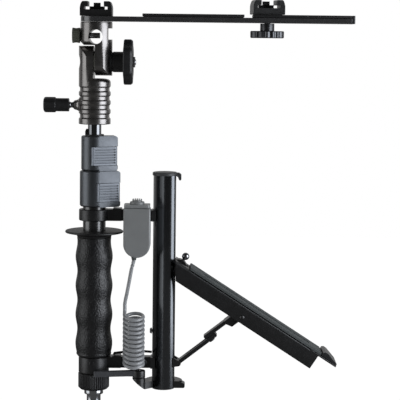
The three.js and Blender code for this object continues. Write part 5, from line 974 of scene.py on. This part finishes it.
def add_clamp_body():
    """A turned barrel with four grooves and a domed top, the left yoke up from it, and a turned
    boss for the screw."""
    foot, radius, pitch, depth = CLAMP_FOOT, HEAD_RADIUS, 8.5, 1.1
    corners = [(0, foot), (radius, foot)]
    radii = [0, 0.9]
    for i in range(4):
        middle = foot + 8 + i * pitch
        corners += [
            (radius, middle - 2.8), (radius - depth, middle - 1.5),
            (radius - depth, middle + 1.5), (radius, middle + 2.8),
        ]
        radii += [0.3, 0.4, 0.4, 0.3]
    corners += [(radius, foot + 42.6), (9.5, foot + 43.7), (0, foot + 44)]
    radii += [3.6, 3, 0]
    column = prism(circle(radius), foot + 36.3, TILT_Z + 17)
    yoke = kept(solid("yoke", column), yoke_end(59.6, True, -radius - 2, -0.8))
    boss = lathe(
        [(0, -19.6), (4.3, -19.6), (4.9, -17.1), (5.9, -15.3), (7.6, -14.5), (7.6, -7), (0, -7)],
        [0, 0.4, 1.2, 1.2, 0.4, 0, 0],
        64,
    )
    barrel = solid("clamp_body_machined", lathe(corners, radii))
    piece = cut(
        joined(barrel, yoke, moved(boss, (0, 0, CLAMP_SCREW_Z), TO_X)),
        prism(circle(8.2), foot - OVERRUN, foot + 29.5),
        rod_x(3.5, -22, 0, CLAMP_SCREW_Z),
        rod_x(6.8, -18, -11.3, TILT_Z, 64),
    )
    dress(piece, "gunmetal", "clamp_body", edge=0.45)


def add_clamp_knob():
    """The clamp's screw, whose neck is hollowed as the square of the distance from its middle, and
    its small knob with shallow lobes."""
    at = (0, 0, CLAMP_SCREW_Z)
    waist = np.linspace(-1, 1, 17)
    hollow = np.stack([2.6 + 1.5 * waist**2, -22.1 + 2.5 * waist], axis=-1)
    left, right = [(0, -43), (3.25, -43), (3.25, -24.9)], [(3.25, -19.4), (3.25, -8.5), (0, -8.5)]
    screw = turned(np.concatenate([left, hollow, right]), 48)
    dress(solid("clamp_screw_chromed", screw, at, TO_X), "bright_chrome", "clamp_screw")
    knob = lobed(
        [
            (0, -49), (5.4, -49), (7, -48.2), (7.4, -47), (7.4, -38), (6.6, -37.2), (6.35, -37.2),
            (6.35, -24.6), (0, -24.6),
        ],
        [0, 0.8, 0.8, 0.8, 0.8, 0.2, 0.1, 0.4, 0],
        fade=(6.5, 7.3), depth=0.55, lobes=10, sides=160,
    )
    dress(solid("clamp_knob_moulded", knob, at, TO_X), "soft_black", "clamp_knob")


def add_tilt_parts():
    """The washer between the yokes, the bolt and nut, and the knob: a sleeve and a lobed disc that
    is dished round its middle."""
    at = (0, 0, TILT_Z)
    washer = filleted([(3.3, -0.5), (10.3, -0.5), (10.3, 0.5), (3.3, 0.5)], 0.15)
    ring = ring_wall("tilt_washer_ring", washer)
    ring.data.transform(Matrix.Translation((0, 0, TILT_Z * MM)) @ TO_X.to_4x4())
    dress(ring, "pale_zinc", "tilt_washer")
    bolt_end = moved(box((-16, -8, -8), (-13, 8, 8)), at)
    cut(refined("tilt_bolt", "steel", 0.25), bolt_end)
    refined("tilt_nut", "steel", 0.25)
    knob = lobed(
        [
            (0, 14.5), (10.1, 14.5), (10.1, 16.1), (9.2, 16.2), (9.2, 17.2), (9.8, 17.8),
            (9.8, 27.7), (20.9, 27.7), (21.7, 28.6), (21.7, 34.5), (20.4, 36.4), (11.4, 36.4),
            (10, 35), (6.6, 35), (5.9, 36.4), (0, 36.4),
        ],
        [0, 0.3, 0.3, 0.2, 0.2, 0.3, 0.9, 0.6, 0.6, 1.2, 0.9, 0.7, 0.5, 0.4, 0.3, 0],
        fade=(12, 21), depth=2.8, lobes=6, sides=240, sharp=0.8,
    )
    dress(solid("tilt_knob_moulded", knob, at, TO_X), "soft_black", "tilt_knob")


def add_head_body():
    """A turned drum with one fine groove under the bar, the right yoke down from it, the umbrella
    hole through it and the holes and flats for its screws."""
    radius, shift = HEAD_RADIUS, 1.4
    low, high = TILT_Z + 15.9, TILT_Z + 38.1
    groove = high - 0.8
    drum = lathe(
        [
            (0, low), (radius - 3.2, low), (radius, low + 3.2), (radius, groove - 0.35),
            (radius - 0.5, groove - 0.1), (radius - 0.5, groove + 0.1), (radius, groove + 0.35),
            (radius, high), (0, high),
        ],
        [0, 1.2, 3, 0.1, 0, 0, 0.1, 0.2, 0],
    )
    column = prism(circle(radius), TILT_Z - 16, low + 7)
    yoke = kept(solid("yoke", column), yoke_end(20.5, False, 0.8 - shift, radius + 2))
    piece = joined(solid("head_body_machined", drum), yoke)
    piece.data.transform(Matrix.Translation((shift * MM, 0, 0)))
    piece = cut(
        piece,
        moved(prism(circle(6.9, 64), -20, 20), (shift, 0, TILT_Z + 23.8), TO_FRONT),
        rod_x(2.95, -20, 0, UMBRELLA_Z),
        box((12.2, -20, TILT_Z + 21.2), (22, 20, TILT_Z + 31.8)),
        rod_x(12.9, 14.2, 22, TILT_Z + 2.1, SIDES),
        rod_x(3.3, -2, 16, TILT_Z),
    )
    dress(piece, "gunmetal", "head_body", edge=0.5)


def add_umbrella_screw():
    """The umbrella screw and its small waisted knob with fine lobes."""
    at = (0, 0, UMBRELLA_Z)
    screw = disc(2.65, -19, 4.9, 0.3, 0.5, 48)
    dress(solid("umbrella_screw_turned", screw, at, TO_X), "steel", "umbrella_screw")
    knob = lobed(
        [(0, -21.5), (7.4, -21.5), (6.8, -17.9), (7.4, -14.2), (0, -14.2)],
        [0, 0.4, 5, 0.4, 0],
        fade=(6.2, 6.8), depth=0.5, lobes=20, sides=240,
    )
    dress(solid("umbrella_knob_knurled", knob, at, TO_X), "olive_rubber", "umbrella_knob")


# ---------------- flash bar and shoes

BAR_LOW, BAR_HIGH = TILT_Z + 38.4, TILT_Z + 43.2
BAR_END = 244
BAR_HALF = 15
PAD_TOP = BAR_HIGH + 3
SCREW_SLOT = 6.8


def slot_outline(start, end):
    """A long screw slot with half-round ends."""
    return strip(start, end, SCREW_SLOT / 2, SCREW_SLOT / 2 - 0.01, 12)


def bar_slot():
    """The slot through the bar and its outer pad."""
    return prism(slot_outline(154.6, 237.6), BAR_LOW - 2, BAR_HIGH + 5)


def pad_solid(name, start, end):
    """A pad on the bar, from start to end."""
    return solid(name, prism(strip(start, end, BAR_HALF, 1), BAR_HIGH + GAP, PAD_TOP))


def add_bar():
    """The flat bar with a round left end, its two pads and its end cap."""
    outline = strip(-13.6, BAR_END, BAR_HALF, [14.9, 0.3, 0.3, 14.9], 24)
    bar = cut(solid("flash_bar_cut", prism(outline, BAR_LOW, BAR_HIGH)), bar_slot())
    dress(bar, "bar_paint", "flash_bar", edge=0.5)
    dress(pad_solid("inner_pad_sheet", 45.7, 142.2), "soft_black", "inner_pad", edge=0.5)
    outer = cut(pad_solid("outer_pad_sheet", 150.3, BAR_END), bar_slot())
    dress(outer, "soft_black", "outer_pad", edge=0.5)
    cap = strip(BAR_END + GAP, 247, BAR_HALF, [0.2, 1, 1, 0.2])
    cap = solid("bar_end_cap_moulded", prism(cap, BAR_LOW, PAD_TOP))
    dress(cap, "black_plastic", "bar_end_cap", edge=0.5)


def shoe(name, foot, at, turn):
    """Round-shouldered cheeks over a floor with an undercut slot, and a stop with a tab behind."""
    half, lip, slot = 15.3, 7.5, 11
    right = [
        (half, 0), (half, 8), (half - 0.7, 11), (half - 1.9, 13.9), (lip, 13.9), (lip, 9),
        (slot, 9), (slot, 6.1),
    ]
    left = [(-x, z) for x, z in right[::-1]]
    radii = [0.7, 2, 2, 2, 0.7, 0.4, 0.2, 0.2]
    outline = filleted(right + left, radii + radii[::-1])
    cheeks = prism(outline, -10, 10, "xz")
    stop = box((-7.3, 7, 5.3), (7.3, 10, 9.2))
    tab = box((-3.3, 7, 5.3), (3.3, 10, 12.7))
    at = (*at, foot)
    cheeks, stop, tab = (moved(grid, at, about_z(turn)) for grid in (cheeks, stop, tab))
    return joined(solid(name, cheeks), stop, tab)


def add_shoes():
    """The two shoes, the right one's stud through the slot, and the lobed wheel under it."""
    left = shoe("left_shoe_cast", BAR_HIGH + GAP, (1.4, 0), 0)
    dress(left, "black_paint", "left_shoe", edge=0.4)
    at, turn = (164.4, 0), 8
    right = shoe("right_shoe_cast", PAD_TOP + GAP, at, turn)
    stud = prism(circle(2.9, 32, at), 373, BAR_HIGH + 4)
    dress(joined(right, stud), "black_paint", "right_shoe", edge=0.4)
    top = BAR_LOW - 0.4
    wheel = lobed(
        [
            (0, top - 13.8), (16.3, top - 13.8), (16.3, top - 7), (6.8, top - 7), (6.8, top),
            (0, top),
        ],
        [0, 1.1, 1.1, 0.5, 0.4, 0],
        fade=(13, 16), depth=0.9, lobes=18, sides=288,
    )
    wheel = solid("thumb_wheel_fluted", wheel, (*at, 0), about_z(turn))
    dress(wheel, "dark_gunmetal", "thumb_wheel")


# ---------------- platform

HINGE = (81.8, 0, 149.6)
SLOPE = Matrix.Rotation(math.radians(32.8), 3, "Y")


def on_slope(grid):
    """From the platform's own frame, with its origin on the hinge and X down the slope."""
    return moved(grid, HINGE, SLOPE)


def add_platform():
    """A channel bent from sheet: the cross outline runs down one flange, over the top and down the
    other, and back inside at the sheet's thickness."""
    outer = [(-16, -10.5), (-16, 6), (16, 6), (16, -10.5)]
    inner = [(14.2, -10.5), (14.2, 4.2), (-14.2, 4.2), (-14.2, -10.5)]
    outline = filleted(outer + inner, [0.3, 2.4, 2.4, 0.3, 0.3, 0.8, 0.8, 0.3])
    channel = solid("platform_channel", on_slope(prism(outline, -12, 159.4, "yz")))
    lip = filleted([(-16, 4.2), (-16, 6), (16, 6), (16, 4.2)], [0, 1.6, 1.6, 0])
    channel = joined(channel, on_slope(prism(lip, 150, 179.5, "yz")))
    post_side = box((40, -40, 60), (POST_X + POST_RADIUS + 0.4, 40, 220))
    notch = on_slope(box((-30, -5.4, -12), (7.7, 5.4, 12)))
    slot = slot_outline(22, 147.5)
    piece = cut(channel, post_side, notch, on_slope(prism(slot, -2, 10)))
    dress(piece, "black_paint", "platform", edge=0.3, segments=2)

    pad = on_slope(prism(strip(9, 160.9, 16, 1), 6.3, 8.4))
    first, pitch, half = 5.4, 2.9, 0.25
    lines = [sign * (first + i * pitch) for sign in (-1, 1) for i in range(4)]
    grooves = [on_slope(box((5, y - half, 8), (165, y + half, 10))) for y in lines]
    pad = cut(solid("platform_pad_ribbed", pad), on_slope(prism(slot, 4, 12)), *grooves)
    dress(pad, "grey_rubber", "platform_pad", edge=0.25, segments=2)

    stop = filleted(
        [(162, 6.3), (179, 6.3), (179, 7.5), (166.8, 11.3), (163.7, 11.3), (162, 9.9)],
        [0.2, 0.3, 0.5, 1.2, 0.8, 0.6],
    )
    stop = solid("end_stop_moulded", on_slope(prism(stop, -16, 16, "xz")))
    dress(stop, "black_plastic", "end_stop", edge=0.5)


def add_hinge():
    """The hinge's lug and pins, and the ball of the lock screw on its neck."""
    refined("hinge_lug", "black_paint", 0.4)
    pin_end = box((70, -20, 140), (95, -16.2, 160))
    cut(refined("hinge_pin", "black_paint", 0.15), pin_end)
    refined("strut_pin", "black_paint", 0.15)
    radius, neck_angle = 3.65, 0.42
    ball = arc(radius, radius, (0, 12.9), neck_angle - math.pi / 2, math.pi / 2, 24)
    profile = np.concatenate([[(0, 4.8), (1.5, 4.8)], ball])
    screw = solid("hinge_lock_screw_ball", on_slope(turned(profile, 64)))
    dress(screw, "bright_chrome", "hinge_lock_screw", angle=50)


def add_strut():
    """The strut's two bars and the clevis on the post."""
    for node in ("strut_lower", "strut_upper", "strut_clevis"):
        refined(node, "black_paint", 0.35)


# ---------------- remote


def add_remote():
    """A flat shell with a half-round foot, a cap with a round base, and a button with ribs left
    between its cuts."""
    front_y, back_y = -21.8, -4.8
    half = 12.9
    x, foot, top = 42, 161.3, 209.3
    round_foot = arc(half, half, (x, foot + half), math.pi, 2 * math.pi, 49)
    outline = np.concatenate([round_foot, [(x + half, top), (x - half, top)]])
    shell = solid("remote_shell", prism(outline, front_y, back_y, "xz"))
    dress(shell, "grey_plastic", "remote_body", edge=1.6, segments=5)

    at = (x, (front_y + back_y) / 2, 0)
    cap_half = 12.3
    corners = [(-cap_half, front_y), (cap_half, front_y), (cap_half, back_y), (-cap_half, back_y)]
    cap = solid("remote_cap_moulded", prism(filleted(corners, 2.4), 209.6, 212.4), (x, 0, 0))
    base = disc(7, 211.6, 215, 0, 0.8, 64)
    well = prism(circle(5.1, 48), 211.6, 218.6)
    cap = cut(joined(cap, moved(base, at)), moved(well, at))
    dress(cap, "grey_plastic", "remote_cap", edge=0.5)

    button = disc(4.7, 213.5, 217.6, 0, 0.9, 64)
    pitch, rib_half = 9.4 / 5, 0.47
    lines = [(i - 1.5) * pitch for i in range(4)]
    ribs = [moved(box((a - rib_half, -9, 215.9), (a + rib_half, 9, 220)), at) for a in lines]
    button = cut(solid("remote_button_ribbed", button, at), *ribs)
    dress(button, "grey_plastic", "remote_button", edge=0.2)
    refined("remote_clip", "steel", 0.4)


def dress_small_nodes():
    """The small nodes that stay as they are get their finishes."""
    looks = {
        "post_screw": "steel",
        "brace_wire": "black_paint",
        "cord_socket": "black_plastic",
        "cord_relief": "grey_rubber",
    }
    for node, look in looks.items():
        NODES[node].data.materials.clear()
        NODES[node].data.materials.append(FINISHES[look])


add_spigot()
add_base_nut()
add_grip()
add_arms()
add_tubes()
add_post_cap()
add_lever()
add_lock("lower", 14.1, 208.5, 34.6, 23.8, -0.3, 11.3, 9.8)
add_lock("upper", 12.8, 243.4, 33.4, 21.3, -5.8, 9.8, 9.3)
add_bush_and_stud()
add_clamp_body()
add_clamp_knob()
add_tilt_parts()
add_head_body()
add_umbrella_screw()
add_bar()
add_shoes()
add_platform()
add_hinge()
add_strut()
add_remote()
dress_small_nodes()
